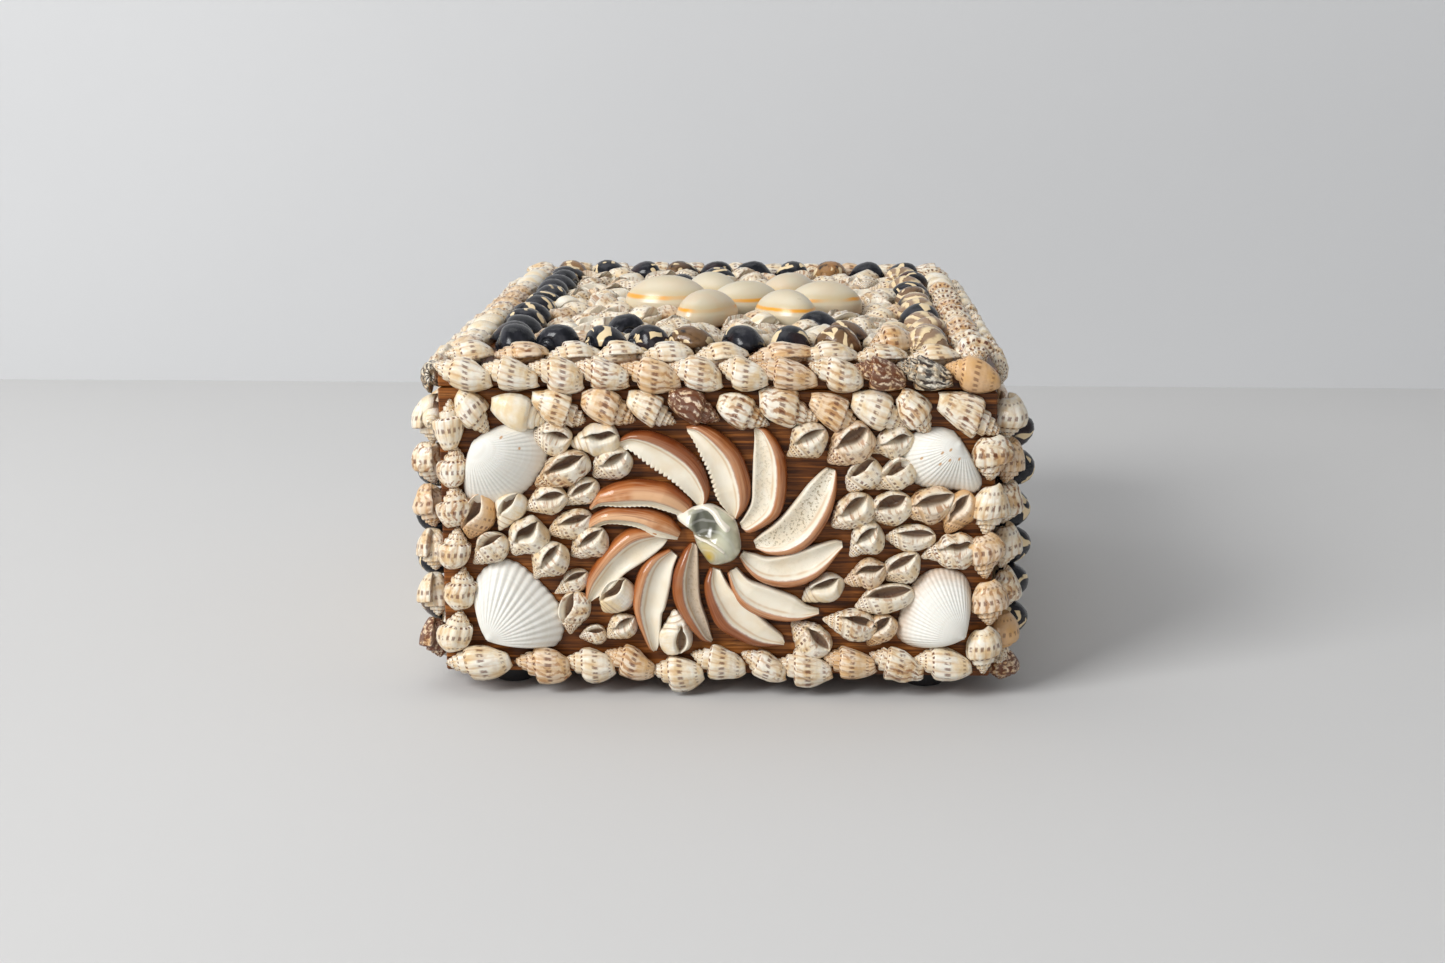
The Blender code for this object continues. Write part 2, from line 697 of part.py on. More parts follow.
def make_rows(builder):
    """The top and bottom row of every face."""
    for seed, (face, half) in enumerate(HALF.items()):
        full = face == "front"
        bm = row_mesh(ROW_END - half, half, TOP_ROW_LEVEL, ROW_SIZE, -TOP_ROW_LEAN, False, full, seed)
        builder.add(face + "_top_row", bm, "speckled_shell", face)
        bm = row_mesh(-half, half - ROW_END, BOTTOM_ROW_LEVEL, ROW_SIZE, 0.0, True, full, seed + 10)
        builder.add(face + "_bottom_row", bm, "speckled_shell", face)


def make_corners(builder):
    """Two columns of shells back to back round each upright edge, joined by a blob of glue."""
    low = BOTTOM_ROW_LEVEL - ROW_WIDTH / 2
    for seed, (one, two) in enumerate(CORNERS):
        name = "corner_" + one + "_" + two
        full = "front" in (one, two)
        first = column_mesh(HALF[one] - COLUMN_INSET, low, HIGH, False, full, 20 + seed)
        obj = builder.add(name, first, "speckled_shell", one)
        up = two == "front"
        second = column_mesh(COLUMN_INSET - HALF[two], LOW, BODY_HEIGHT - ROOM, up, full, 30 + seed)
        boolean(obj, corner_bridge(builder, name, one), "UNION")
        boolean(obj, builder.add(name + "_second", second, None, two), "UNION")


def corner_bridge(builder, name, one):
    """An angle of glue round the upright edge, between the two columns."""
    half = HALF[one]
    bm = bmesh.new()
    profile = (
        (half - COLUMN_INSET, GLUE_NEAR),
        (half + GLUE_NEAR, GLUE_NEAR),
        (half + GLUE_NEAR, -COLUMN_INSET),
        (half + GLUE_FAR, -COLUMN_INSET),
        (half + GLUE_FAR, GLUE_FAR),
        (half - COLUMN_INSET, GLUE_FAR),
    )
    middle = BODY_HEIGHT / 2
    loft(bm, [[(x, level, z) for x, z in profile] for level in (middle, middle + GLUE_LENGTH)])
    return builder.add(name + "_glue", bm, None, one)


def make_lid_edges(builder):
    """On each edge of the lid, a row on the edge of the board and one on top, joined by glue."""
    for seed, (face, half) in enumerate(HALF.items()):
        level = LID_BASE + RIM_WIDTH / 2 + ROOM
        full = face == "front"
        rim = row_mesh(-half, half, level, RIM_SIZE, 0.0, True, full, 40 + seed)
        obj = builder.add("lid_edge_" + face, rim, "speckled_shell", face)
        inset = 2 * BORDER_INSET if face in ("left", "right") else 0.0
        border = bmesh.new()
        place = Matrix.Translation((half - inset, LID_TOP + GAP, -BORDER_INSET))
        place = place @ Matrix.Rotation(-math.pi / 2, 4, "X") @ Matrix.Rotation(math.pi, 4, "Z")
        length = 2 * (half - inset)
        chain(border, place, length, BORDER_SIZE, 0.0, False, 50 + seed, BORDER_PITCH)
        boolean(obj, lid_bridge(builder, face), "UNION")
        boolean(obj, builder.add("lid_border_" + face, border, None, face), "UNION")


def lid_bridge(builder, face):
    """An angle of glue over the lid's edge, between the two rows."""
    bm = bmesh.new()
    foot = LID_TOP - LID_THICKNESS / 2
    profile = (
        (foot, GLUE_NEAR),
        (LID_TOP + GLUE_NEAR, GLUE_NEAR),
        (LID_TOP + GLUE_NEAR, -BORDER_INSET),
        (LID_TOP + GLUE_FAR, -BORDER_INSET),
        (LID_TOP + GLUE_FAR, GLUE_FAR),
        (foot, GLUE_FAR),
    )
    loft(bm, [[(x, y, z) for y, z in profile] for x in (1.0, 1.0 + GLUE_LENGTH)])
    return builder.add("lid_glue_" + face, bm, None, face)


def make_nerites(builder):
    nerite_ring(builder)
    for face in ("left", "right"):
        for end in (-1, 1):
            bm = bmesh.new()
            place = Matrix.Translation((end * (DEPTH / 2 - SIDE_NERITE_INSET), LOW, GAP))
            place = place @ Matrix.Rotation(math.pi / 2, 4, "Z")
            nerite_chain(bm, place, HIGH - LOW)
            where = "front" if (face == "right") == (end < 0) else "back"
            builder.add(face + "_nerites_" + where, bm, "black_nerite", face)


def make_fill(builder):
    """Packed small shells over the lid, both long sides and the back, and round the pinwheel."""
    size = (WIDTH - 2 * LID_FILL_INSET, DEPTH - 2 * LID_FILL_INSET)
    centre = [value * LID_SCALE for value in FLOWER_CENTRE]
    clearing = (centre, FLOWER_CLEARING)
    bm = cobbles(size, LID_FILL_CELL, LID_FILL_HEIGHT, hole=clearing, seed=60)
    builder.add("lid_fill", bm, "cream_shell", "top")
    side = DEPTH - 2 * SIDE_NERITE_INSET - SIDE_NERITE_WIDTH - 2 * ROOM
    for face, across in (("left", side), ("right", side), ("back", WIDTH - 2 * ROW_END)):
        middle = (0.0, (LOW + HIGH) / 2)
        size, seed = (across, HIGH - LOW), 70 + len(face)
        bm = cobbles(size, PANEL_FILL_CELL, PANEL_FILL_HEIGHT, middle, full=False, seed=seed)
        builder.add(face + "_fill", bm, "cream_shell", face)
    front_fill(builder, "front_fill_left", LEFT_FILL)
    front_fill(builder, "front_fill_right", RIGHT_FILL)
    bm = bmesh.new()
    spindle(bm, WHITE_SHELL)
    builder.add("front_white_shell", bm, "white_shell", "front")


def make_flower(builder):
    x, y = (value * LID_SCALE for value in FLOWER_CENTRE)
    places = [(x, y, CENTRE_ANGLE)]
    for angle in PETAL_ANGLES:
        turn = math.radians(angle)
        places.append((x + FLOWER_RADIUS * math.cos(turn), y + FLOWER_RADIUS * math.sin(turn), angle))
    for i, (across, up, angle) in enumerate(places):
        obj = builder.add("cowrie_" + str(i), cowrie_mesh(), "ring_cowrie", "top")
        obj.location = (across * MM, up * MM, GAP * MM)
        obj.rotation_euler.z = math.radians(angle)


def make_front(builder):
    for name, across, up, angle in COCKLES:
        obj = builder.add(name, cockle_mesh(), "white_shell", "front")
        turn = Vector((math.cos(math.radians(angle)), math.sin(math.radians(angle))))
        beak = Vector(on_field(across, up)) - turn * COCKLE_SIZE * FIELD_SCALE / 2
        obj.location = (beak.x * MM, beak.y * MM, GAP * MM)
        obj.rotation_euler.z = math.radians(angle)
    for letter, item in zip("abcdefghijkl", BLADES):
        builder.add("pinwheel_lip_" + letter, blade_mesh(*item), "salmon_lip", "front")
    hub = builder.add("pinwheel_hub", hub_mesh(), "green_shell", "front")
    across, up = on_field(*HUB_CENTRE)
    hub.location = (across * MM, up * MM, GAP * MM)
    hub.rotation_euler.z = HUB_TURN


def main():
    clear_scene()
    builder = Builder()
    make_box(builder)
    make_feet(builder)
    make_rows(builder)
    make_corners(builder)
    make_lid_edges(builder)
    make_nerites(builder)
    make_fill(builder)
    make_flower(builder)
    make_front(builder)


main()
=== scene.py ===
"""Dresses the shell box: seashells, varnished wood and feet over its fixed frame."""

import math
import random

import bmesh
import bpy
import numpy as np
from mathutils import Matrix, Vector


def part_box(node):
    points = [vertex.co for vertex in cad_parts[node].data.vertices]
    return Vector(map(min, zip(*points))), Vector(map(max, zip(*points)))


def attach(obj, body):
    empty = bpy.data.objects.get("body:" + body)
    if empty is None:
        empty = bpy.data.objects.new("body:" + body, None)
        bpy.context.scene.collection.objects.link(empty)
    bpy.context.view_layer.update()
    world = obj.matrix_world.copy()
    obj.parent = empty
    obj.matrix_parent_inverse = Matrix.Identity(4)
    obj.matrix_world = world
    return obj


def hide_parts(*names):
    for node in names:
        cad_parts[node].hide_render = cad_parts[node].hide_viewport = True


bl_info = {
    "name": "Shell Box",
    "version": (1, 0, 0),
    "blender": (4, 5, 0),
    "location": "View3D > Sidebar > Shell Box",
    "description": "Dresses a small wooden box with glued seashells",
    "category": "Object",
}

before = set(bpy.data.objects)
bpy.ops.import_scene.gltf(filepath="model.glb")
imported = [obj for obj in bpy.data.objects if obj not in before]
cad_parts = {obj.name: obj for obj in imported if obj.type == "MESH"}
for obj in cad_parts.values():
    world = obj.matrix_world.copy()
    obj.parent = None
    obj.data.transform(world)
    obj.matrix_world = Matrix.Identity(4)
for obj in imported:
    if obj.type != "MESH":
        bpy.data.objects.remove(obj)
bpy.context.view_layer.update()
MM = 0.001


def node_box(name):
    """A node's lowest and highest corner in millimetres."""
    return [[value / MM for value in corner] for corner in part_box(name)]


BODY_LOW, BODY_HIGH = node_box("box_body")
LID_LOW, LID_HIGH = node_box("lid")
HALF_X = BODY_HIGH[0]
HALF_Y = BODY_HIGH[1]
WOOD_BASE = BODY_LOW[2]
BODY_TOP = BODY_HIGH[2] - WOOD_BASE
LID_TOP = LID_HIGH[2]

# Where the photograph was taken from, in millimetres and degrees
EYE = (20.2, -583.0, 170.1)
TILT = 77.0
TURN = 2.17
LENS = 50.0
SENSOR = 36.0
PHOTO = (1445, 963)
# Pixels of the photograph to a millimetre of the front
PIXELS = 3.9

# Where each upright face's own axes start, and how far it is turned from the front
FACES = {
    "front": ((0.0, -HALF_Y, WOOD_BASE), 0.0),
    "right": ((HALF_X, 0.0, WOOD_BASE), 90.0),
    "back": ((0.0, HALF_Y, WOOD_BASE), 180.0),
    "left": ((-HALF_X, 0.0, WOOD_BASE), 270.0),
}
HALF = {"front": HALF_X, "back": HALF_X, "left": HALF_Y, "right": HALF_Y}
# Heights above the wood's base: the middles of the rows, and what is free between them
TOP_ROW = 67.0
BOTTOM_ROW = 3.6
LOW = 8.6
HIGH = 61.8
# The lid's board starts this far above its panel, and its edge rows lie this far above that
PANEL = 3.3
EDGE_RISE = 1.6
# How far in from the edges of the wood things lie
COLUMN_INSET = 4.3
BORDER_INSET = 5.2
NERITE_INSET = 15.6
SIDE_NERITE_INSET = 16.2
LID_FILL_INSET = 21.0
SIDE_FILL_INSET = 23.4
# What the columns take up at an upright edge, and the rows at a corner of the lid
CORNER = 9.6
LID_CORNER = 10.4
# How far out from the wood the base and the apex of a row's shell are sighted
BASE_OUT = 2.8
APEX_OUT = 2.4
# Rows that the photograph doesn't show: how far apart the shells lie and how far they stand out
PITCH = 11.8
BORDER_PITCH = 12.4
FAR_HEIGHT = 6.4
# The same for the small shells that are packed over a face, across and up
FILL_PITCH = (9.6, 8.3)
# A shell's axis lies this share of its height above the wood, and a spire is a little lower
AXIS = 0.46
SPIRE_DROP = 0.85

# How strong the brown net is, how dark its lines are, and how warm the ground is
KINDS = {
    "white": (0.04, 0.1, 0.05),
    "cream": (0.38, 0.36, 0.3),
    "dash": (0.55, 0.5, 0.3),
    "net": (0.9, 0.6, 0.45),
    "tan": (0.7, 0.35, 0.75),
    "dark": (1.0, 1.0, 0.75),
    "black": (1.0, 0.9, 0.0),
    "orange": (0.3, 0.15, 1.0),
}
COMMON = ("cream", "cream", "dash", "dash", "net", "net", "tan", "white")


def rotation(angle, axis):
    """A turn about an axis, in degrees."""
    return Matrix.Rotation(math.radians(angle), 4, axis)


def sight(x, y):
    """The direction from the eye through a pixel of the photograph."""
    scale = SENSOR / LENS / PHOTO[0]
    view = Vector(((x - PHOTO[0] / 2) * scale, (PHOTO[1] / 2 - y) * scale, -1.0))
    return rotation(TURN, "Z") @ rotation(TILT, "X") @ view


def on_front(x, y, out):
    """A pixel as a point of the front: across, up and out from the wood."""
    ray = sight(x, y)
    reach = (-HALF_Y - out - EYE[1]) / ray.y
    return Vector((EYE[0] + ray.x * reach, EYE[2] + ray.z * reach - WOOD_BASE, out))


def on_lid(x, y, rise):
    """A pixel as a point of the lid's top: across, back and up from the wood."""
    ray = sight(x, y)
    reach = (LID_TOP + rise - EYE[2]) / ray.z
    return Vector((EYE[0] + ray.x * reach, EYE[1] + ray.y * reach, rise))


def face_matrix(face):
    """Turns a face's across, up and out into the box's own axes."""
    if face == "top":
        return Matrix.Translation((0.0, 0.0, LID_TOP))
    origin, angle = FACES[face]
    return Matrix.Translation(origin) @ (rotation(angle, "Z") @ rotation(90.0, "X"))


def resample(points, shares, steps=12):
    """Points at these shares of the length of a smooth line through the given ones."""
    points = np.array([tuple(p)[:2] for p in points], float)
    padded = np.vstack([2 * points[0] - points[1], points, 2 * points[-1] - points[-2]])
    dense = []
    for i in range(1, len(padded) - 2):
        p0, p1, p2, p3 = padded[i - 1 : i + 3]
        for t in np.linspace(0.0, 1.0, steps, endpoint=False):
            dense.append(
                0.5 * (2 * p1 + (p2 - p0) * t + (2 * p0 - 5 * p1 + 4 * p2 - p3) * t**2
                       + (3 * p1 - p0 - 3 * p2 + p3) * t**3)
            )
    dense.append(points[-1])
    dense = np.array(dense)
    lengths = np.concatenate([[0.0], np.cumsum(np.linalg.norm(np.diff(dense, axis=0), axis=1))])
    at = np.asarray(shares) * lengths[-1]
    return np.stack([np.interp(at, lengths, dense[:, k]) for k in range(2)], 1)


def ring_faces(rings, wide, turned):
    """Faces between closed rings of points, and a fan round each of the two points after them."""
    last = (rings - 1) * wide
    faces = []
    for a in range(0, last, wide):
        b = a + wide
        for j in range(wide):
            k = (j + 1) % wide
            faces.append((a + j, b + j, b + k, a + k) if turned else (a + j, a + k, b + k, b + j))
    for middle, ring, flip in ((rings * wide, 0, not turned), (rings * wide + 1, last, turned)):
        for j in range(wide):
            pair = (ring + j, ring + (j + 1) % wide)
            faces.append((middle, *(pair[::-1] if flip else pair)))
    return faces


class Form:
    """One modelled shape: rings of points, the two points that close its ends and, at each
    point, where on the shell it is."""

    def __init__(self, points, grain, mask, wide, turned=False):
        self.points = np.asarray(points, float)
        self.faces = ring_faces((len(points) - 2) // wide, wide, turned)
        self.grain = np.asarray(grain, float)
        self.mask = np.asarray(mask, float)

    def fitted(self):
        """The form centred on its length, half its width and half its height 1."""
        for k in (1, 2):
            low, high = self.points[:, k].min(), self.points[:, k].max()
            self.points[:, k] = (self.points[:, k] - (low + high) / 2) / (high - low) * 2
        return self


# Coiled shells: how far the last lip flares and how fast along the turn, how far the older
# whorls are drawn out, where a rib is full below the seam and how it fades, and the apex
FLARE = 0.06
FLARE_SPEED = 12.0
DRAWN_OUT = 0.6
RIB_FULL = 0.12
RIB_FADE = 0.8
APEX = 0.7


def whorled(profile, inner, growth, steps, ribs=0, relief=0.0):
    """A shell coiled about x: apex at x = 0, base at x = -1, widest radius 1.

    The profile runs from the seam down to the base as (along, radius), and inner closes it
    near the axis. The steps are the stations of each whorl, from the oldest, and the ribs
    stand across each whorl, strongest below the seam."""
    turns = []
    for i, count in enumerate(steps):
        turns += [i - len(steps) + k / count for k in range(count)]
    turns.append(0.0)
    ring = [*profile, *inner]
    start, end = profile[0][0], profile[-1][0]
    points, grain, mask = [], [], []
    for turn in turns:
        size = growth**turn
        angle = -math.tau * turn
        lip = 1.0 + FLARE * max(0.0, 1.0 + turn * FLARE_SPEED)
        for j, (along, radius) in enumerate(ring):
            reach = max(0.0, (along - start) / (end - start))
            x = along * size + DRAWN_OUT * (1.0 - size) * reach * reach
            across = min(j, len(profile) - 1) / (len(profile) - 1)
            rib = math.cos(math.tau * ribs * turn) * min(1.0, across / RIB_FULL)
            rib = rib * (1.0 - across) ** RIB_FADE if ribs else 0.0
            wide = radius * size * (lip if j < len(profile) else 1.0) * (1.0 + relief * rib)
            points.append((-x, wide * math.cos(angle), wide * math.sin(angle)))
            grain.append((turn, across, 0.0))
            mask.append((0.0, 0.0, rib))
    rim = points[-len(ring) :]
    points += [(-start * growth ** turns[0] * APEX, 0.0, 0.0), tuple(np.mean(rim, axis=0))]
    grain += [(turns[0], 0.0, 0.0), (0.0, 0.5, 0.0)]
    mask += [(0.0, 0.0, 0.0), (0.0, 1.0, 0.0)]
    return Form(points, grain, mask, len(ring), True)


# Across the hollow of an open shell: share of its width and how dark, in the interior's colour
# and painted shade. Then the shares of its back that get a point
NEAR_HOLLOW = ((0.08, 0.4), (0.35, 0.8), (0.7, 1.0), (0.93, 0.6)), (0.3, 0.6, 1.0)
FAR_HOLLOW = ((0.15, 0.6), (0.75, 1.0)), (0.5, 1.0)


def opened(shell, near=True):
    """A shell on its back: apex at x = 0, base at x = -1, its aperture up and towards -y."""
    outline, seams, (start, end, edge, gape) = shell
    stations = [along for along, _ in outline]
    if near:
        stations += [(a + b) / 2 for a, b in zip(stations, stations[1:]) if a > seams[-1]]
    inner, rest = NEAR_HOLLOW if near else FAR_HOLLOW
    points, grain, mask = [], [], []
    for along in sorted(stations):
        radius = float(np.interp(along, *zip(*outline))) ** 0.84
        share = min(1.0, max(0.0, (along - start) / (end - start)))
        taper = math.sin(math.pi * share**1.45) ** 0.42 if 0.0 < share < 1.0 else 0.0
        left = math.degrees(math.asin(edge * (0.55 + 0.45 * taper)))
        right = math.degrees(math.asin(edge + max(0.1, gape * taper)))
        left, right = min(left, right - 6.0), max(right, left + 6.0)
        deep = min(1.0, taper * 1.4)
        # Each column's angle, how far it is lifted, or None in the hollow, how dark (interior
        # colour and painted shade), how much lip
        columns = [
            (-165, 0, 0, 0), (-118, 0, 0, 0), (-88, 0, 0, 0),
            (left - 19, 0.02, 0, 0.2), (left - 11, 0.13, 0, 1), (left - 3, 0.12, 0, 1),
            *[(left + (right - left) * k, None, dark, 1) for k, dark in inner],
            (right + 2, 0.03, 0.05, 1), (right + 9, 0.09, 0, 0.9), (right + 18, 0.02, 0, 0.3),
            *[(right + 18 + (80 - right) * k, 0, 0, 0) for k in rest],
            (125, 0, 0, 0), (165, 0, 0, 0),
        ]
        seam = max([0.0] + [k for k in seams if k <= along + 0.001])
        last = seam == seams[-1]
        across = (along - seam) / (1.0 - seam) if last else (along - seam) * 2.6
        lean = 0.035 * min(1.0, max(0.0, (0.62 - along) / 0.25))
        for angle, lift, dark, lip in columns:
            turn = math.radians(angle)
            y, z = radius * math.sin(turn), math.cos(turn)
            z = radius * (z**0.7 if z > 0.0 else -0.75 * (-z) ** 0.8)
            if lift is None:
                z += (-0.25 - z) * deep * (0.65 + 0.35 * dark)
            else:
                z += lift * deep
            points.append((-along - lean * y, y, z))
            grain.append((angle / 330.0, across, 0.0))
            mask.append((dark * deep, lip * deep, 0.0))
    points += [(0.01, 0.0, 0.0), (-1.004, 0.0, 0.0)]
    grain += [grain[0], grain[-len(columns)]]
    mask += [(0.0, 0.0, 0.0)] * 2
    return Form(points, grain, mask, len(columns))


# Spindle shells: how much each whorl grows, what closes it inside, the outlines of four from
# the seam to the base, and how many ribs each has and how high
SPINDLE_GROWTH = 1.52
SPINDLE_INNER = ((0.9, 0.07), (0.68, 0.1), (0.46, 0.2))
SPINDLES = (
    ((0.36, 0.59), (0.37, 0.75), (0.4, 0.89), (0.45, 0.97), (0.54, 1.0), (0.65, 0.97),
     (0.76, 0.88), (0.87, 0.71), (0.95, 0.53), (1.0, 0.36)),
    ((0.38, 0.56), (0.388, 0.78), (0.41, 0.95), (0.45, 1.0), (0.54, 0.98), (0.66, 0.93),
     (0.77, 0.82), (0.87, 0.66), (0.95, 0.5), (1.0, 0.34)),
    ((0.4, 0.6), (0.41, 0.74), (0.44, 0.88), (0.5, 0.97), (0.59, 1.0), (0.69, 0.98),
     (0.79, 0.9), (0.89, 0.74), (0.96, 0.56), (1.0, 0.38)),
    ((0.33, 0.58), (0.34, 0.73), (0.37, 0.89), (0.43, 0.98), (0.52, 1.0), (0.63, 0.96),
     (0.75, 0.85), (0.86, 0.68), (0.94, 0.5), (1.0, 0.33)),
)
NERITE = ((0.13, 0.4), (0.15, 0.54), (0.21, 0.74), (0.3, 0.9), (0.42, 0.98), (0.55, 1.0),
          (0.69, 0.93), (0.82, 0.77), (0.93, 0.52), (1.0, 0.24))
NERITE_GROWTH = 2.3
NERITE_INNER = ((0.9, 0.08), (0.6, 0.1), (0.3, 0.18))
RIBS = ((10, 0.055), (12, 0.04), (9, 0.065), (0, 0.0))
# Small shells on their backs: half widths from the apex, where the seams are, and the aperture's
# start, end, outer edge and width
OPEN_SHELLS = (
    (((0.0, 0.04), (0.04, 0.14), (0.075, 0.19), (0.09, 0.2), (0.13, 0.33), (0.165, 0.37),
      (0.18, 0.39), (0.24, 0.57), (0.29, 0.62), (0.31, 0.66), (0.38, 0.87), (0.47, 0.98),
      (0.58, 1.0), (0.69, 0.97), (0.79, 0.89), (0.88, 0.73), (0.95, 0.5), (0.985, 0.29),
      (1.0, 0.12)),
     (0.0, 0.09, 0.18, 0.31), (0.28, 0.985, -0.74, 0.78)),
    (((0.0, 0.03), (0.05, 0.13), (0.09, 0.17), (0.105, 0.19), (0.16, 0.33), (0.2, 0.37),
      (0.22, 0.4), (0.28, 0.58), (0.34, 0.64), (0.36, 0.7), (0.44, 0.9), (0.53, 1.0),
      (0.62, 1.0), (0.72, 0.95), (0.82, 0.83), (0.9, 0.65), (0.96, 0.43), (0.99, 0.24),
      (1.0, 0.1)),
     (0.0, 0.105, 0.22, 0.36), (0.32, 0.99, -0.68, 0.62)),
    (((0.0, 0.05), (0.03, 0.15), (0.06, 0.22), (0.075, 0.25), (0.11, 0.4), (0.14, 0.45),
      (0.155, 0.48), (0.2, 0.66), (0.25, 0.74), (0.27, 0.79), (0.34, 0.93), (0.43, 1.0),
      (0.55, 0.99), (0.67, 0.93), (0.78, 0.82), (0.87, 0.68), (0.94, 0.47), (0.98, 0.29),
      (1.0, 0.12)),
     (0.0, 0.075, 0.155, 0.27), (0.22, 0.98, -0.82, 0.9)),
    (((0.0, 0.04), (0.04, 0.16), (0.08, 0.2), (0.095, 0.23), (0.14, 0.37), (0.18, 0.42),
      (0.195, 0.46), (0.25, 0.63), (0.31, 0.69), (0.33, 0.74), (0.4, 0.9), (0.5, 0.99),
      (0.61, 1.0), (0.71, 0.98), (0.81, 0.88), (0.89, 0.72), (0.95, 0.52), (0.985, 0.31),
      (1.0, 0.12)),
     (0.0, 0.095, 0.195, 0.33), (0.3, 0.98, -0.66, 0.66)),
)


def thin(profile):
    """A profile with fewer points, for shells that are never seen close by."""
    return profile[:2] + profile[3:8:2] + profile[8:]


def refine(profile, count):
    """The same profile with its lower part read at more points."""
    shares = np.linspace(0.0, 1.0, count - 3)
    return profile[:3] + tuple(map(tuple, resample(profile[3:], shares)))


def make_forms():
    """Every shape that repeats, modelled once."""
    made = {"row": [], "far_row": [], "mouth": [], "far_mouth": []}
    for profile, (ribs, relief) in zip(SPINDLES, RIBS):
        steps = (7, 8, 2 * ribs, 3 * ribs, 4 * ribs) if ribs else (7, 8, 11, 16, 18)
        near = whorled(refine(profile, 12), SPINDLE_INNER, SPINDLE_GROWTH, steps, ribs, relief)
        steps = (6, 8, 2 * ribs, 3 * ribs) if ribs else (6, 8, 10, 13)
        far = whorled(thin(profile), SPINDLE_INNER[1:], SPINDLE_GROWTH, steps, ribs, relief)
        made["row"].append(near.fitted())
        made["far_row"].append(far.fitted())
    for shell in OPEN_SHELLS:
        made["mouth"].append(opened(shell).fitted())
        made["far_mouth"].append(opened(shell, False).fitted())
    nerite_form = whorled(NERITE, NERITE_INNER, NERITE_GROWTH, (10, 14, 22))
    made["nerite"] = [nerite_form.fitted()]
    return made


class Cluster:
    """Shells that are glued down as one piece."""

    def __init__(self, seed):
        self.parts = []
        self.rng = random.Random(seed)

    def add(self, form, matrix, kind=(0.0, 0.0, 0.0), sway=0.0):
        """Adds a form, swayed a little so that no two shells are quite alike."""
        points = form.points @ np.array(matrix.to_3x3()).T + np.array(matrix.translation)
        waves = [[self.rng.gauss(0.0, 0.5) for _ in range(3)] for _ in range(3)]
        start = [self.rng.uniform(0.0, math.tau) for _ in range(3)]
        points = points + sway * np.sin(points @ np.array(waves) + np.array(start))
        grain = form.grain.copy()
        grain[:, 2] = self.rng.uniform(0.0, 40.0)
        grain[:, 0] += self.rng.random()
        tone = np.tile(np.array(kind, float), (len(points), 1))
        self.parts.append((points, form.faces, grain, form.mask, tone))

    def finish(self, name, slot, *nodes):
        """Joins the shells into one piece that stands for the frame's nodes."""
        points, faces, grain, mask, tone = zip(*self.parts)
        joined = []
        for start, part in zip(np.cumsum([0, *map(len, points)]).tolist(), faces):
            joined += [tuple(index + start for index in face) for face in part]
        mesh = bpy.data.meshes.new(name)
        mesh.from_pydata((np.concatenate(points) * MM).tolist(), [], joined)
        for label, values in (("grain", grain), ("mask", mask), ("tone", tone)):
            attribute = mesh.attributes.new(label, "FLOAT_VECTOR", "POINT")
            attribute.data.foreach_set("vector", np.concatenate(values).astype(np.float32).ravel())
        mesh.polygons.foreach_set("use_smooth", [True] * len(mesh.polygons))
        mesh.update()
        obj = bpy.data.objects.new(name, mesh)
        bpy.context.scene.collection.objects.link(obj)
        obj.data.materials.append(finish_for(slot))
        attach(obj, "root")
        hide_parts(*nodes)
        return obj


def lay(face, base, apex, width, height, roll):
    """Places a coiled form on a face, from its base end to its apex, both in face axes."""
    along = apex - base
    x = along.normalized()
    y = Vector((0.0, 0.0, 1.0)).cross(x).normalized()
    turn = Matrix((x, y, x.cross(y))).transposed().to_4x4()
    size = Matrix.Diagonal((along.length, width / 2, height / 2, 1.0))
    return face_matrix(face) @ Matrix.Translation(apex) @ turn @ size @ rotation(roll, "X")


def row_shell(cluster, face, base, apex, width, height, kind, group="row"):
    """A spindle shell on its mouth, its axis near half its height above the wood."""
    rng = cluster.rng
    roll = rng.uniform(-22.0, 22.0)
    rise = height * AXIS
    a, b = Vector((*base, rise)), Vector((*apex, rise * SPIRE_DROP))
    *ribbed, smooth = forms()[group]
    form = smooth if kind in ("white", "orange") else rng.choice(ribbed)
    cluster.add(form, lay(face, a, b, width, height * 1.04, roll), KINDS[kind], 0.22)


# How small shells lie: their forms, how far they tilt in millimetres, and how far they roll
NEAT = ("mouth", 0.9, 14.0)
FAR_NEAT = ("far_mouth", 0.9, 14.0)
TUMBLED = ("mouth", 4.2, 60.0)
# What the shells on their backs are given over their measured length and width
OVERLAP = 1.1


def mouth_shell(cluster, face, middle, length, width, lean, kind, lie=NEAT):
    """A small shell on its back, its aperture up and its spire towards the lean."""
    rng = cluster.rng
    group, tilt, roll = lie
    turn = math.radians(lean)
    way = Vector((math.cos(turn), math.sin(turn), 0.0)) * length / 2 * OVERLAP
    form = rng.choice(forms()[group])
    roll = rng.uniform(-roll, roll)
    tip = Vector((0.0, 0.0, rng.uniform(-tilt, tilt * 0.3)))
    width = width * OVERLAP
    height = width * rng.uniform(0.66, 0.76)
    centre = Vector((*middle, height * AXIS))
    place = lay(face, centre - way, centre + way + tip, width, height, roll)
    cluster.add(form, place, KINDS[kind], 0.3)


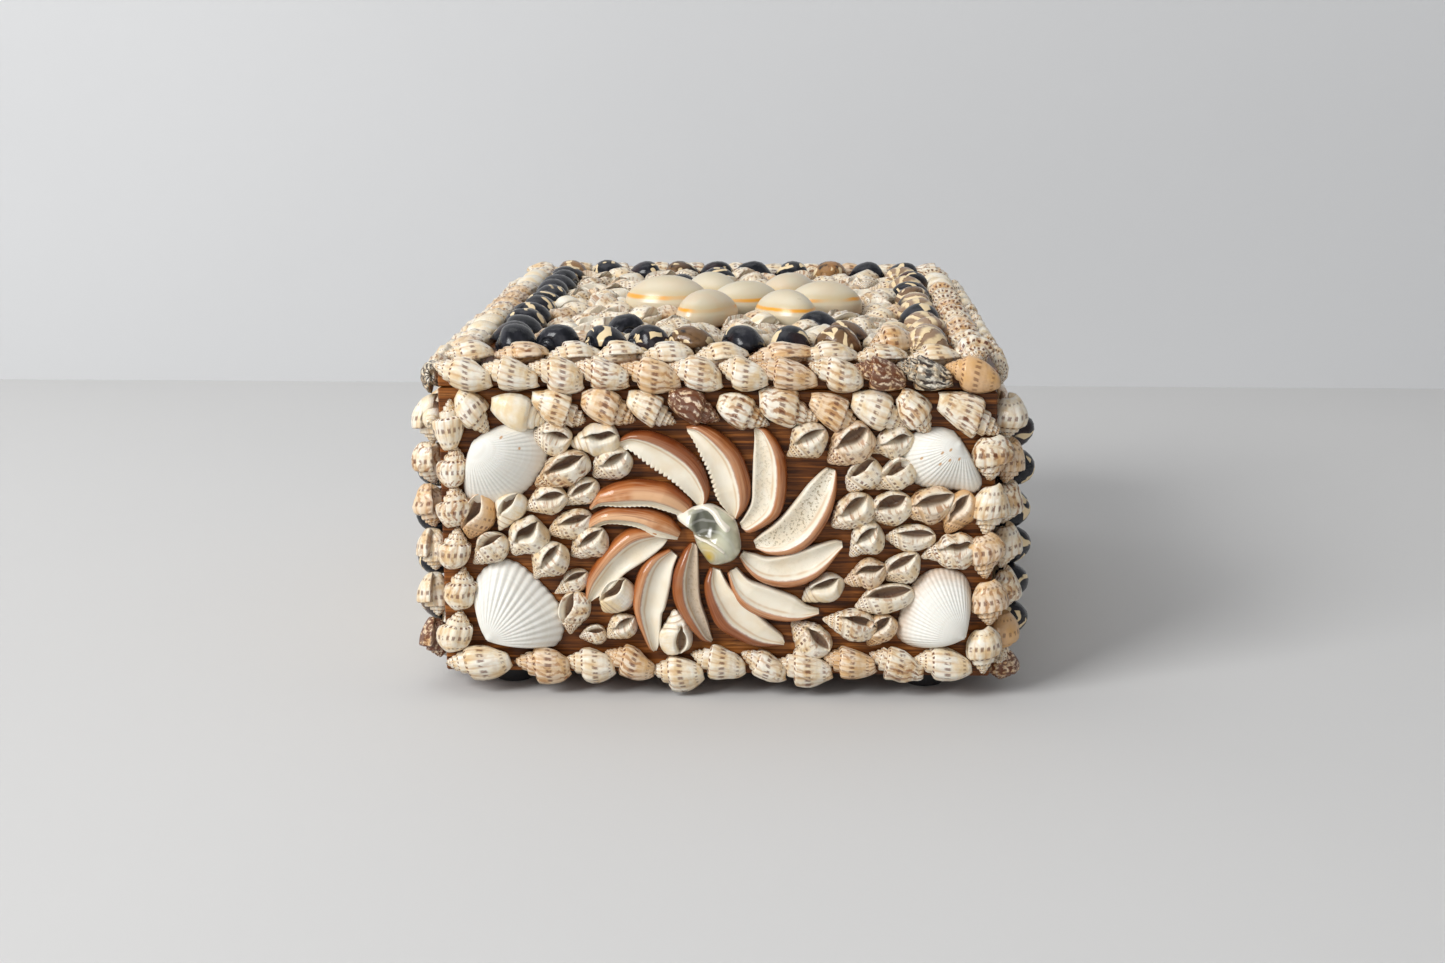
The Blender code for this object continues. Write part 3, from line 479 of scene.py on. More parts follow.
class Wire:
    """A socket that sums, products and other maths can be written with."""

    def __init__(self, nodes, socket):
        self.nodes = nodes
        self.socket = socket

    def math(self, operation, *others):
        return self.nodes.math(operation, self, *others)

    def __add__(self, other):
        return self.math("ADD", other)

    def __sub__(self, other):
        return self.math("SUBTRACT", other)

    def __mul__(self, other):
        return self.math("MULTIPLY", other)

    def __rsub__(self, other):
        return self.nodes.math("SUBTRACT", other, self)

    __radd__ = __add__
    __rmul__ = __mul__

    def fract(self):
        return self.math("FRACT")

    def sine(self):
        return self.math("SINE")

    def fold(self, reach):
        return self.math("PINGPONG", reach)

    def clip(self):
        return self.nodes.math("ADD", self, 0.0, use_clamp=True)

    def rise(self, low, high):
        """0 below low, 1 above high, and a soft step between. A low over high falls instead."""
        settings = {"interpolation_type": "SMOOTHSTEP"}
        return self.nodes.make("ShaderNodeMapRange", settings, [self, low, high, 0.0, 1.0])

    def near(self, middle, far, close):
        """1 where this is as close to the middle as that, and 0 from far on."""
        return (self - middle).math("ABSOLUTE").rise(far, close)


class Nodes:
    """The node tree of one new material."""

    def __init__(self, name):
        self.material = bpy.data.materials.new(name)
        self.material.use_nodes = True
        self.tree = self.material.node_tree
        self.shader = self.tree.nodes["Principled BSDF"]

    def make(self, kind, settings=None, values=(), out=0):
        """A node of any type: its settings first, then the values or links of its sockets."""
        node = self.tree.nodes.new(kind)
        for key, value in (settings or {}).items():
            setattr(node, key, value)
        pairs = values.items() if isinstance(values, dict) else enumerate(values)
        for key, value in pairs:
            self.set(node.inputs[key], value)
        return Wire(self, node.outputs[out])

    def set(self, socket, value):
        if isinstance(value, Wire):
            self.tree.links.new(value.socket, socket)
        elif isinstance(value, tuple) and len(value) == 3 and socket.type == "RGBA":
            socket.default_value = (*value, 1.0)
        else:
            socket.default_value = value

    def shade(self, **values):
        """Sets or feeds the shader's sockets, and returns the material."""
        for key, value in values.items():
            self.set(self.shader.inputs[key.replace("_", " ")], value)
        return self.material

    def math(self, operation, *values, **settings):
        return self.make("ShaderNodeMath", {"operation": operation, **settings}, values)

    def marks(self, name):
        """The three values of one of the pieces' own attributes."""
        vector = self.make("ShaderNodeAttribute", {"attribute_name": name}, out="Vector")
        node = self.tree.nodes.new("ShaderNodeSeparateXYZ")
        self.set(node.inputs[0], vector)
        return [Wire(self, socket) for socket in node.outputs]

    def place(self):
        return self.make("ShaderNodeTexCoord", out="Object")

    def stretch(self, vector, x, y, z):
        return self.make("ShaderNodeMapping", None, {"Vector": vector, "Scale": (x, y, z)})

    def noise(self, vector, scale, detail=2.0, rough=0.5):
        values = {"Vector": vector, "Scale": scale, "Detail": detail, "Roughness": rough}
        return self.make("ShaderNodeTexNoise", None, values)

    def speckle(self, x, y, seed, detail=2.0, rough=0.5):
        """Noise along a shell's own directions, different for every shell."""
        vector = self.make("ShaderNodeCombineXYZ", None, [x, y, seed])
        return self.noise(vector, 1.0, detail, rough)

    def paint(self, skin, *coats):
        """Lays coats over a colour, each as thick as its factor."""
        for factor, coat in coats:
            values = {"Factor": factor, 6: skin, 7: coat}
            skin = self.make("ShaderNodeMix", {"data_type": "RGBA"}, values, out=2)
        return skin

    def bump(self, height, strength, distance):
        values = {"Height": height, "Strength": strength, "Distance": distance}
        return self.make("ShaderNodeBump", None, values)


def shell_material(name, colours, gloss=0.26):
    """Glossy shell: a cream ground, tan clouds, rows of brown dashes and a broken net."""
    nodes = Nodes(name)
    turn, across, seed = nodes.marks("grain")
    net, dark, warm = nodes.marks("tone")
    mouth, lip, rib = nodes.marks("mask")
    bare = 1.0 - lip
    cloud = nodes.speckle(turn * 5.0, across * 3.4, seed, 3.0, 0.6)
    fine = nodes.speckle(turn * 16.0, across * 9.0, seed, 3.0, 0.6)
    wobble = fine * 0.9
    zigzag = (turn * 11.0 + (across * 5.0).fold(1.0) * 0.55 + wobble).fract()
    patches = nodes.speckle(turn * 3.4, across * 4.0, seed + 7.0)
    lines = zigzag.rise(0.5, 0.66) * zigzag.rise(0.98, 0.86)
    lines = lines * patches.rise(0.4, 0.56) * net.rise(0.2, 0.85)
    dash = (turn * 17.0 + wobble * 0.5).fract().rise(0.42, 0.56)
    rows = across.near(0.15, 0.07, 0.03) + across.near(0.42, 0.06, 0.02) * 0.8
    rows = rows + across.near(0.74, 0.05, 0.02) * 0.6
    dots = (dash * rows * fine.rise(0.34, 0.46) * net.rise(0.0, 0.4)).clip()
    flood = dark.rise(0.75, 1.0) * fine.rise(0.62, 0.44)
    cover = (flood + (dots + lines * dark.rise(0.5, 0.9)) * bare).clip()
    groove = (rib * -1.0).rise(0.1, 0.9)
    stain = lip * mouth.rise(0.5, 0.2) * net.rise(0.1, 0.5) * fine.rise(0.5, 0.62)
    # The inside of the aperture: brown over a near-black painted shade
    throat = nodes.paint(
        colours.deep,
        ((seed * 7.3).fract() * 0.6 + 0.35, colours.taupe),
        (fine.rise(0.5, 0.72) * 0.8, colours.brown),
    )
    skin = nodes.paint(
        colours.pale,
        (cloud.rise(0.3, 0.7), colours.cream),
        ((cloud.rise(0.48, 0.7) * net * 0.7).clip(), colours.tan),
        (warm.rise(0.5, 1.0) * 0.75, colours.warm),
        ((lines * 0.8 * bare).clip(), colours.rust),
        (groove * 0.7 * net.rise(0.05, 0.5), colours.tan),
        (rib.rise(0.2, 0.8) * 0.4, colours.pale),
        (cover * 0.92, nodes.paint(colours.ink, (warm.rise(0.0, 0.12), colours.brown))),
        (lip * (0.85 - fine * 0.35), colours.lip),
        (mouth.rise(0.25, 0.7), throat),
        # Painted shade, darkest deep in the aperture
        (mouth.rise(0.75, 1.0) * 0.55, colours.deep),
        (stain * 0.75, colours.rust),
        # Darker along the seams of the whorls
        (across.rise(0.1, 0.0) * bare * 0.6, colours.seam),
    )
    cords = (across * 60.0).sine() * 0.3 + (turn * 260.0).sine() * 0.2
    height = cords * 0.5 + fine * 1.2 + nodes.noise(nodes.place(), 900.0, 3.0) * 0.8
    height = height + nodes.noise(nodes.place(), 260.0, 2.0) * 2.0
    return nodes.shade(
        Base_Color=skin,
        Roughness=gloss + 0.16 * fine + mouth * 0.3,
        Normal=nodes.bump(height, 0.5, 0.00016),
        Specular_IOR_Level=0.3,
        Coat_Weight=0.25,
        Coat_Roughness=0.08,
        Subsurface_Weight=0.06,
        Subsurface_Radius=(0.0012, 0.0008, 0.0005),
    )


def nerite_material(colours):
    """Black nerites with broken cream tents and a pale worn apex."""
    nodes = Nodes("black_nerite")
    turn, across, seed = nodes.marks("grain")
    net, dark, warm = nodes.marks("tone")
    fine = nodes.speckle(turn * 9.0, across * 5.0, seed, 3.0, 0.55)
    broad = nodes.speckle(turn * 5.0, across * 1.6, seed, 1.0, 0.4)
    patches = nodes.speckle(turn * 3.0, across * 3.0, seed + 9.0, 0.0).rise(0.52, 0.55)
    drops = nodes.speckle(turn * 8.0, across * 4.0, seed + 4.0, 0.0).rise(0.7, 0.73)
    bands = (turn * 5.0 + broad * 2.4 + (across * 2.0).fold(1.0) * 0.5).fract()
    tents = bands.rise(0.66, 0.7) * bands.rise(0.97, 0.93) * patches
    stripes = (turn * 9.0 + fine * 0.8).fract()
    dull = nodes.paint(
        colours.taupe,
        (stripes.rise(0.3, 0.6), colours.cream),
        (stripes.rise(0.86, 0.93) * 0.8, colours.brown),
    )
    skin = nodes.paint(
        colours.night,
        (fine.rise(0.35, 0.75), colours.dusk),
        ((broad.rise(0.55, 0.7) * warm).clip() * 0.65, colours.brown),
        ((turn.rise(0.4, 0.0) * dark).clip() * fine.rise(0.3, 0.5), colours.tan),
        (((tents + drops) * net.rise(0.35, 0.5)).clip(), colours.cream),
        (warm.rise(1.4, 1.6) * across.rise(0.9, 0.7), dull),
    )
    return nodes.shade(
        Base_Color=skin,
        Roughness=0.12 + 0.16 * fine,
        Normal=nodes.bump((turn * 140.0).sine() * 0.3 + fine, 0.25, 0.0001),
        Specular_IOR_Level=0.28,
        Coat_Weight=0.06,
    )


def wood_material(colours):
    """Reddish-brown varnished wood with a fine grain along the boards."""
    nodes = Nodes("varnished_wood")
    place = nodes.place()
    streak = nodes.noise(nodes.stretch(place, 22.0, 40.0, 1050.0), 1.0, 5.0, 0.62)
    broad = nodes.noise(nodes.stretch(place, 12.0, 12.0, 70.0), 1.0)
    pores = nodes.noise(nodes.stretch(place, 160.0, 160.0, 2600.0), 1.0)
    skin = nodes.paint(
        colours.wood_dark,
        (streak.rise(0.36, 0.62), colours.wood),
        (streak.rise(0.52, 0.7) * broad.rise(0.35, 0.65), colours.wood_light),
        (pores.rise(0.54, 0.66) * 0.6, colours.wood_dark),
    )
    return nodes.shade(
        Base_Color=skin,
        Roughness=0.3 + 0.2 * streak,
        Normal=nodes.bump(streak + pores * 0.6, 0.3, 0.0002),
        Specular_IOR_Level=0.2,
        Coat_Weight=0.06,
        Coat_Roughness=0.15,
    )


def cockle_material(colours):
    """Chalky white ribbed shell with faint growth lines and a few tan specks."""
    nodes = Nodes("white_shell")
    angle, reach, seed = nodes.marks("grain")
    stain, spots = nodes.marks("tone")[0], nodes.marks("mask")[0]
    fine = nodes.speckle(angle * 20.0, reach * 14.0, seed, 3.0)
    rings = nodes.speckle(angle * 0.5, reach * 22.0, seed)
    skin = nodes.paint(
        colours.chalk,
        (rings.rise(0.35, 0.7) * 0.4, colours.chalk_shade),
        (spots.rise(0.25, 0.7) * 0.85, colours.tan),
        (reach.rise(0.72, 1.0) * stain * fine, colours.tan),
    )
    return nodes.shade(
        Base_Color=skin,
        Roughness=0.36 + 0.2 * fine,
        Normal=nodes.bump(fine + rings * 0.4, 0.3, 0.00012),
        Subsurface_Weight=0.08,
        Subsurface_Radius=(0.0014, 0.001, 0.0008),
    )


def lip_material(colours):
    """Cut cowrie lip: a salmon-brown outer side round a cream face, with painted highlights and
    shade.
    """
    nodes = Nodes("salmon_lip")
    along, across, seed = nodes.marks("grain")
    grey, brown, pits = nodes.marks("tone")
    fine = nodes.speckle(along * 30.0, across * 9.0, seed, 4.0, 0.6)
    cloud = nodes.speckle(along * 5.0, across * 2.0, seed)
    streak = nodes.speckle(along * 2.6, across * 26.0, seed)
    sand = nodes.noise(nodes.place(), 1400.0, 4.0, 0.7)
    # A painted highlight along the top of the outer side
    top = across.rise(0.06, 0.2) * across.rise(0.34, 0.26)
    pits = pits * across.rise(0.42, 0.5) * across.rise(0.95, 0.88)
    edge = (across + fine * 0.05 - 0.02).rise(0.3, 0.345)
    face = nodes.paint(
        colours.face,
        (cloud.rise(0.35, 0.75) * 0.7 + fine * 0.2, colours.face_shade),
        (sand.rise(0.5, 0.64) * pits, colours.sand),
        # Painted shade greys the face where the grey value is set
        (grey * across.rise(0.36, 0.42), colours.taupe),
        # Painted shade in the crease just inside the bead
        (across.near(0.42, 0.05, 0.0) * cloud.rise(0.3, 0.5) * 0.45, colours.tan),
    )
    skin = nodes.paint(
        colours.salmon,
        (cloud.rise(0.3, 0.7), colours.salmon_deep),
        # The painted highlight in peach, stronger where the side's darkness is below 0
        (top * (0.55 - brown * 0.45) * cloud.rise(0.2, 0.55), colours.peach),
        # Painted highlight streaks along the side; the dark streaks below are the side's own bands
        (streak.rise(0.5, 0.7) * 0.35, colours.peach),
        (streak.rise(0.46, 0.3) * 0.45, colours.salmon_dark),
        # Painted shade along the side's lower edge, next to the wood
        (across.rise(0.08, 0.0) * 0.6, colours.salmon_dark),
        (brown, colours.salmon_dark),
        (edge, face),
        # A painted highlight along the bead at the edge of the face
        (across.near(0.33, 0.07, 0.0) * 0.4, colours.pale),
    )
    return nodes.shade(
        Base_Color=skin,
        Roughness=0.2 + edge * 0.24 + fine * 0.1,
        Normal=nodes.bump(fine * (0.4 + edge) + sand * pits * 2.0, 0.35, 0.00015),
        Specular_IOR_Level=0.25,
        Coat_Weight=0.3,
        Coat_Roughness=0.06,
        Subsurface_Weight=0.08,
        Subsurface_Radius=(0.0016, 0.001, 0.0007),
    )


def cowrie_material(colours):
    """Polished cream cowries with a thin golden ring above the margin."""
    nodes = Nodes("ring_cowrie")
    angle, ring, seed = nodes.marks("grain")
    cloud = nodes.noise(nodes.place(), 160.0, 3.0)
    wander = ring + (cloud - 0.5) * 0.05
    patches = nodes.speckle(angle * 2.2, 0.0, seed, 1.0)
    line = wander.near(0.93, 0.04, 0.012) * patches.rise(0.4, 0.5)
    skin = nodes.paint(
        colours.dome,
        (wander.rise(0.25, 0.75), colours.ivory),
        ((seed * 0.123).fract() * cloud.rise(0.35, 0.65) * 0.35, colours.peach),
        (wander.near(0.9, 0.14, 0.0) * 0.25, colours.yellow),
        ((line * (0.7 + cloud * 0.5)).clip(), colours.gold),
    )
    return nodes.shade(
        Base_Color=skin,
        Roughness=0.24 + 0.12 * cloud,
        Normal=nodes.bump(cloud, 0.15, 0.0003),
        Coat_Weight=0.25,
        Coat_Roughness=0.2,
        Subsurface_Weight=0.08,
        Subsurface_Radius=(0.0016, 0.001, 0.0006),
    )


def hub_material(colours):
    """Thin grey-green shell with a painted shadow in its hollow, white edges and a yellow patch.
    """
    nodes = Nodes("green_shell")
    away = nodes.marks("grain")[0]
    dark, yellow, white = nodes.marks("mask")
    fine = nodes.noise(nodes.place(), 700.0, 4.0)
    cloud = nodes.noise(nodes.place(), 240.0)
    rings = (away * 2.6 + cloud * 4.0).sine()
    skin = nodes.paint(
        colours.sea_pale,
        (cloud.rise(0.35, 0.65), colours.sea_light),
        # Painted shadow in the hollow
        ((dark * 1.5 + rings * 0.06).clip(), colours.sea),
        ((yellow + rings * 0.08 * yellow).clip(), colours.yellow),
        (rings.rise(0.4, 1.0) * 0.2, colours.chalk),
        (white.rise(0.3, 0.7) * 0.9, colours.pale),
    )
    return nodes.shade(
        Base_Color=skin,
        Roughness=0.14 + 0.12 * fine,
        Normal=nodes.bump(fine + rings * 0.5, 0.25, 0.00015),
        Coat_Weight=0.5,
        Subsurface_Weight=0.15,
        Subsurface_Radius=(0.001, 0.0012, 0.0008),
    )


def rubber_material(colours):
    """Dull black rubber, worn in places."""
    nodes = Nodes("black_rubber")
    fine = nodes.noise(nodes.place(), 900.0, 3.0)
    return nodes.shade(
        Base_Color=nodes.paint(colours.rubber, (fine, colours.rubber_worn)),
        Roughness=0.5 + 0.2 * fine,
        Normal=nodes.bump(fine, 0.3, 0.0001),
    )


def stage_material(name, colour, rough, one_sided=False):
    """A dull pale surface. A one-sided one can be looked through from behind."""
    nodes = Nodes(name)
    cloud = nodes.noise(nodes.place(), 3.0, 3.0)
    skin = nodes.paint(tuple(value * 0.93 for value in colour), (cloud, colour))
    nodes.shade(Base_Color=skin, Roughness=rough + 0.05 * cloud)
    if one_sided:
        behind = nodes.make("ShaderNodeNewGeometry", out="Backfacing")
        clear = nodes.make("ShaderNodeBsdfTransparent")
        front = Wire(nodes, nodes.shader.outputs[0])
        both = nodes.make("ShaderNodeMixShader", None, [behind, front, clear])
        nodes.set(nodes.tree.nodes["Material Output"].inputs["Surface"], both)
    return nodes.material


def colour(name, text, value):
    return bpy.props.FloatVectorProperty(
        name=name, description=text, default=value, subtype="COLOR", size=3, min=0.0, max=1.0
    )


def size(name, text, value):
    return bpy.props.FloatProperty(
        name=name, description=text, default=value * MM, min=0.0, subtype="DISTANCE", unit="LENGTH"
    )


class ShellBoxColours(bpy.types.PropertyGroup):
    # Pale is also the painted highlight on the lips' bead
    pale: colour("Pale shell", "Lightest ground of the small shells", (0.86, 0.81, 0.7))
    cream: colour("Cream shell", "Cream ground of the small shells", (0.8, 0.63, 0.38))
    # Tan is also the painted shade in the crease of the lips' faces
    tan: colour("Tan clouds", "Tan clouds on the small shells", (0.52, 0.27, 0.095))
    warm: colour("Warm shell", "Ground of the orange shells", (0.66, 0.34, 0.1))
    brown: colour("Brown marks", "Marks on the small shells", (0.12, 0.03, 0.01))
    rust: colour("Rust marks", "Lighter marks on the small shells", (0.36, 0.15, 0.045))
    ink: colour("Black marks", "Marks on the few black and white shells", (0.012, 0.012, 0.014))
    lip: colour("Lips", "Thick lips round the slits", (0.8, 0.74, 0.62))
    # Deep is near-black painted shade inside the apertures
    deep: colour("Throat", "Darkest part inside the small shells", (0.07, 0.032, 0.018))
    # Taupe is also the painted shade over lip h's face
    taupe: colour("Inside", "Inside of the paler small shells", (0.33, 0.22, 0.14))
    # Darker colour along the seams of the whorls
    seam: colour("Seams", "Darkening in the seams of the whorls", (0.34, 0.19, 0.09))
    night: colour("Nerite", "Ground of the nerites", (0.008, 0.009, 0.012))
    dusk: colour("Nerite clouds", "Lighter clouds on the nerites", (0.03, 0.03, 0.038))
    wood: colour("Wood", "Stained wood", (0.27, 0.086, 0.015))
    wood_dark: colour("Dark grain", "Dark grain of the wood", (0.055, 0.015, 0.003))
    wood_light: colour("Light grain", "Light grain of the wood", (0.42, 0.17, 0.045))
    chalk: colour("Cockle", "Ground of the cockles", (0.8, 0.785, 0.725))
    chalk_shade: colour("Cockle shade", "Growth bands of the cockles", (0.7, 0.67, 0.585))
    salmon: colour("Lip side", "Outer side of the cut lips", (0.46, 0.15, 0.035))
    # Peach is the painted highlight on the lips' sides, and a tint on some cowries
    peach: colour("Lip side top", "Top of the lips' outer side", (0.74, 0.45, 0.25))
    salmon_deep: colour("Lip side clouds", "Clouds on the outer side", (0.32, 0.085, 0.02))
    # Also the painted shade along the lower edge of every lip's side
    salmon_dark: colour("Darkest lip side", "Side of the darkest lips", (0.14, 0.026, 0.007))
    face: colour("Lip face", "Cut face of the lips", (0.82, 0.76, 0.63))
    face_shade: colour("Lip face shade", "Shade on the cut face", (0.76, 0.64, 0.46))
    sand: colour("Pits", "Sand in the pitted faces", (0.36, 0.29, 0.18))
    dome: colour("Cowrie dome", "Top of the cowries", (0.64, 0.55, 0.375))
    ivory: colour("Cowrie margin", "Margin of the cowries", (0.68, 0.6, 0.44))
    gold: colour("Cowrie ring", "Ring on the cowries", (0.84, 0.36, 0.02))
    # Painted shadow in the hub shell's hollow
    sea: colour("Hub hollow", "Hollow of the hub shell", (0.1, 0.1, 0.07))
    sea_pale: colour("Hub shell", "Ground of the hub shell", (0.52, 0.52, 0.38))
    sea_light: colour("Hub shell clouds", "Clouds on the hub shell", (0.62, 0.62, 0.47))
    yellow: colour("Hub patch", "Yellow patch of the hub shell", (0.56, 0.38, 0.05))
    rubber: colour("Feet", "Rubber of the feet", (0.012, 0.012, 0.013))
    rubber_worn: colour("Worn feet", "Worn rubber", (0.03, 0.03, 0.032))
    floor: colour("Floor", "Floor under the box", (0.64, 0.635, 0.625))
    wall: colour("Backdrop", "Backdrop behind the box", (0.64, 0.645, 0.65))


class ShellBoxSizes(bpy.types.PropertyGroup):
    row_height: size("Row height", "How far the row shells stand out", 6.6)
    nerite: size("Nerites", "Width of the nerites on the lid", 12.0)
    cockle: size("Cockle height", "How far the cockles stand out", 6.6)
    lip: size("Lip height", "How far the cut lips stand out", 5.2)
    cowrie: size("Cowrie length", "Length of the ring cowries", 22.0)


class ShellBoxLook(bpy.types.PropertyGroup):
    colours: bpy.props.PointerProperty(name="Colours", type=ShellBoxColours)
    sizes: bpy.props.PointerProperty(name="Sizes", type=ShellBoxSizes)


class Shades:
    """The look's colours as plain tuples."""

    def __init__(self, group):
        self.group = group

    def __getattr__(self, name):
        return tuple(getattr(self.group, name))


FORMS = {}
FINISHES = {}


def forms():
    if not FORMS:
        FORMS.update(make_forms())
    return FORMS


def finish_for(slot):
    """The material of one of the record's slots, made when it is first asked for."""
    if slot not in FINISHES:
        shades = Shades(bpy.context.scene.shell_box.colours)
        makers = {
            "varnished_wood": wood_material,
            "black_rubber": rubber_material,
            "speckled_shell": lambda c: shell_material("speckled_shell", c),
            "cream_shell": lambda c: shell_material("cream_shell", c, 0.3),
            "white_shell": cockle_material,
            "salmon_lip": lip_material,
            "black_nerite": nerite_material,
            "ring_cowrie": cowrie_material,
            "green_shell": hub_material,
        }
        FINISHES[slot] = makers[slot](shades)
    return FINISHES[slot]


def deselect():
    bpy.ops.object.select_all(action="DESELECT")


class SHELLBOX_OT_wood(bpy.types.Operator):
    """Varnish the box and its lid"""

    bl_idname = "shell_box.wood"
    bl_label = "Varnish the Wood"

    def execute(self, context):
        for name in ("box_body", "lid"):
            obj = bpy.data.objects[name]
            obj.data.materials.clear()
            obj.data.materials.append(finish_for("varnished_wood"))
        return {"FINISHED"}


# How much narrower a foot is below, and how far its edges are rounded
FOOT_TAPER = 0.8
FOOT_ROUND = 0.8


class SHELLBOX_OT_feet(bpy.types.Operator):
    """Turn the four rubber feet"""

    bl_idname = "shell_box.feet"
    bl_label = "Feet"

    def execute(self, context):
        for end in ("front", "back"):
            for side in ("left", "right"):
                self.turn_foot("foot_" + end + "_" + side)
        return {"FINISHED"}

    def turn_foot(self, node):
        low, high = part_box(node)
        radius = (high[0] - low[0]) / 2
        height = high[2] - low[2]
        centre = ((low[0] + high[0]) / 2, (low[1] + high[1]) / 2, height / 2 + low[2])
        deselect()
        bpy.ops.mesh.primitive_cylinder_add(
            vertices=40, radius=radius, depth=height, location=centre
        )
        foot = context_object("turned_" + node)
        bpy.ops.object.mode_set(mode="EDIT")
        bm = bmesh.from_edit_mesh(foot.data)
        for vert in bm.verts:
            vert.select_set(vert.co.z < 0.0)
        bm.select_flush(True)
        bmesh.update_edit_mesh(foot.data)
        bpy.ops.transform.resize(value=(FOOT_TAPER, FOOT_TAPER, 1.0), center_override=centre)
        bpy.ops.object.mode_set(mode="OBJECT")
        edge = foot.modifiers.new("Round edges", "BEVEL")
        edge.width = FOOT_ROUND * MM
        edge.segments = 3
        bpy.ops.object.modifier_apply(modifier=edge.name)
        settle(foot)
        foot.data.materials.append(finish_for("black_rubber"))
        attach(foot, "root")
        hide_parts(node)


def context_object(name):
    obj = bpy.context.view_layer.objects.active
    obj.name = name
    obj.data.name = name
    return obj


def pick(obj):
    """Makes this the only selected object and the active one."""
    deselect()
    obj.select_set(True)
    bpy.context.view_layer.objects.active = obj


def settle(obj):
    """Moves an object's place into its mesh and shades it by angle."""
    pick(obj)
    bpy.ops.object.transform_apply(location=True, rotation=True, scale=True)
    bpy.ops.object.shade_smooth_by_angle(angle=math.radians(40))


# The front's top row: base, apex and kind, in pixels of the photograph
FRONT_TOP = (
    ((457, 391), (491, 433), 34, "cream"),
    ((490, 401), (548, 421), 37, "white"),
    ((531, 396), (590, 421), 37, "net"),
    ((581, 396), (638, 420), 37, "tan"),
    ((627, 395), (678, 424), 34, "dash"),
    ((666, 394), (723, 418), 35, "dark"),
    ((717, 399), (772, 426), 34, "net"),
    ((757, 397), (823, 419), 39, "net"),
    ((809, 396), (864, 427), 35, "tan"),
    ((851, 397), (909, 425), 38, "cream"),
    ((898, 391), (935, 434), 33, "net"),
    ((936, 397), (1005, 431), 42, "net"),
)
# The front's bottom row, spires to the left
FRONT_BOTTOM = (
    ((513, 660), (444, 665), 36, "cream"),
    ((573, 668), (511, 663), 37, "tan"),
    ((618, 669), (559, 662), 35, "cream"),
    ((656, 673), (603, 652), 34, "tan"),
    ((706, 674), (648, 672), 37, "cream"),
    ((748, 669), (688, 655), 35, "cream"),
    ((788, 677), (739, 654), 31, "dash"),
    ((835, 673), (771, 664), 38, "dash"),
    ((877, 668), (819, 659), 34, "tan"),
    ((924, 674), (866, 654), 35, "net"),
    ((974, 669), (910, 661), 37, "cream"),
)
# The row on the lid's front edge, spires to the left
FRONT_RIM = (
    (433, 492, "cream"), (482, 537, "cream"), (529, 583, "dash"), (575, 629, "net"),
    (621, 679, "tan"), (667, 722, "dash"), (719, 767, "cream"), (755, 816, "tan"),
    (808, 862, "dash"), (853, 904, "dark"), (898, 951, "black"), (947, 998, "orange"),
)
# The row on top of the lid, behind it
FRONT_BORDER = (
    (440, 492, "cream"), (489, 547, "tan"), (543, 600, "cream"), (590, 642, "cream"),
    (634, 692, "cream"), (690, 748, "cream"), (744, 815, "tan"), (795, 857, "cream"),
    (851, 906, "dash"), (903, 956, "cream"),
)
# Columns beside the front's upright edges: across, up, length, width and kind
LEFT_COLUMN = (
    (-67.2, 65.4, 13.6, 8.2, "cream"),
    (-66.4, 54.8, 11.4, 8.6, "net"),
    (-66.8, 44.4, 11.6, 9.0, "net"),
    (-66.8, 33.4, 11.6, 8.8, "dash"),
    (-65.6, 22.8, 12.0, 9.0, "dash"),
    (-67.0, 11.6, 12.0, 9.4, "cream"),
)
RIGHT_COLUMN = (
    (68.9, 57.6, 13.0, 10.5, "net"),
    (68.9, 44.6, 14.0, 9.9, "dash"),
    (68.3, 32.6, 12.6, 9.9, "tan"),
    (69.5, 20.2, 13.0, 10.3, "tan"),
    (68.7, 7.6, 13.6, 9.5, "cream"),
)
# The same on the two long sides, just behind the front: back from it, up, length, width
LEFT_SIDE_COLUMN = (
    (6.6, 64.4, 13.0, 9.4, "cream"),
    (5.6, 53.4, 12.0, 9.2, "net"),
    (6.2, 42.2, 12.6, 9.4, "tan"),
    (5.6, 30.6, 12.4, 9.2, "dash"),
    (6.4, 18.4, 12.6, 9.4, "cream"),
    (6.0, 6.6, 11.6, 9.0, "dark"),
)
RIGHT_SIDE_COLUMN = (
    (6.4, 66.6, 12.6, 9.8, "cream"),
    (5.8, 55.4, 12.6, 9.2, "tan"),
    (6.4, 44.4, 12.6, 9.2, "net"),
    (6.0, 33.2, 12.6, 9.2, "dash"),
    (6.0, 21.8, 12.6, 9.2, "net"),
    (6.4, 10.2, 12.0, 9.6, "orange"),
    (5.6, 1.6, 8.6, 8.0, "dark"),
)


class SHELLBOX_OT_front_rows(bpy.types.Operator):
    """Lay the two rows of the front, shell by shell"""

    bl_idname = "shell_box.front_rows"
    bl_label = "Front Rows"

    def execute(self, context):
        height = context.scene.shell_box.sizes.row_height / MM
        for name, table, seed in (("top", FRONT_TOP, 1), ("bottom", FRONT_BOTTOM, 2)):
            cluster = Cluster(seed)
            for base, apex, width, kind in table:
                a, b = on_front(*base, BASE_OUT), on_front(*apex, APEX_OUT)
                row_shell(cluster, "front", a[:2], b[:2], width / PIXELS, height, kind)
            node = "front_" + name + "_row"
            cluster.finish("shells_" + node, "speckled_shell", node)
        return {"FINISHED"}


def column(cluster, face, table, spires_up, mirror=0.0, height=6.6):
    """A column from a table. A mirror says which end of a long side it is measured from."""
    for across, up, length, width, kind in table:
        if mirror:
            across = mirror * (HALF[face] - across)
        way = length / 2 if spires_up else -length / 2
        lean = cluster.rng.uniform(-0.8, 0.8)
        base, apex = (across - lean, up - way), (across + lean, up + way)
        row_shell(cluster, face, base, apex, width, height, kind)


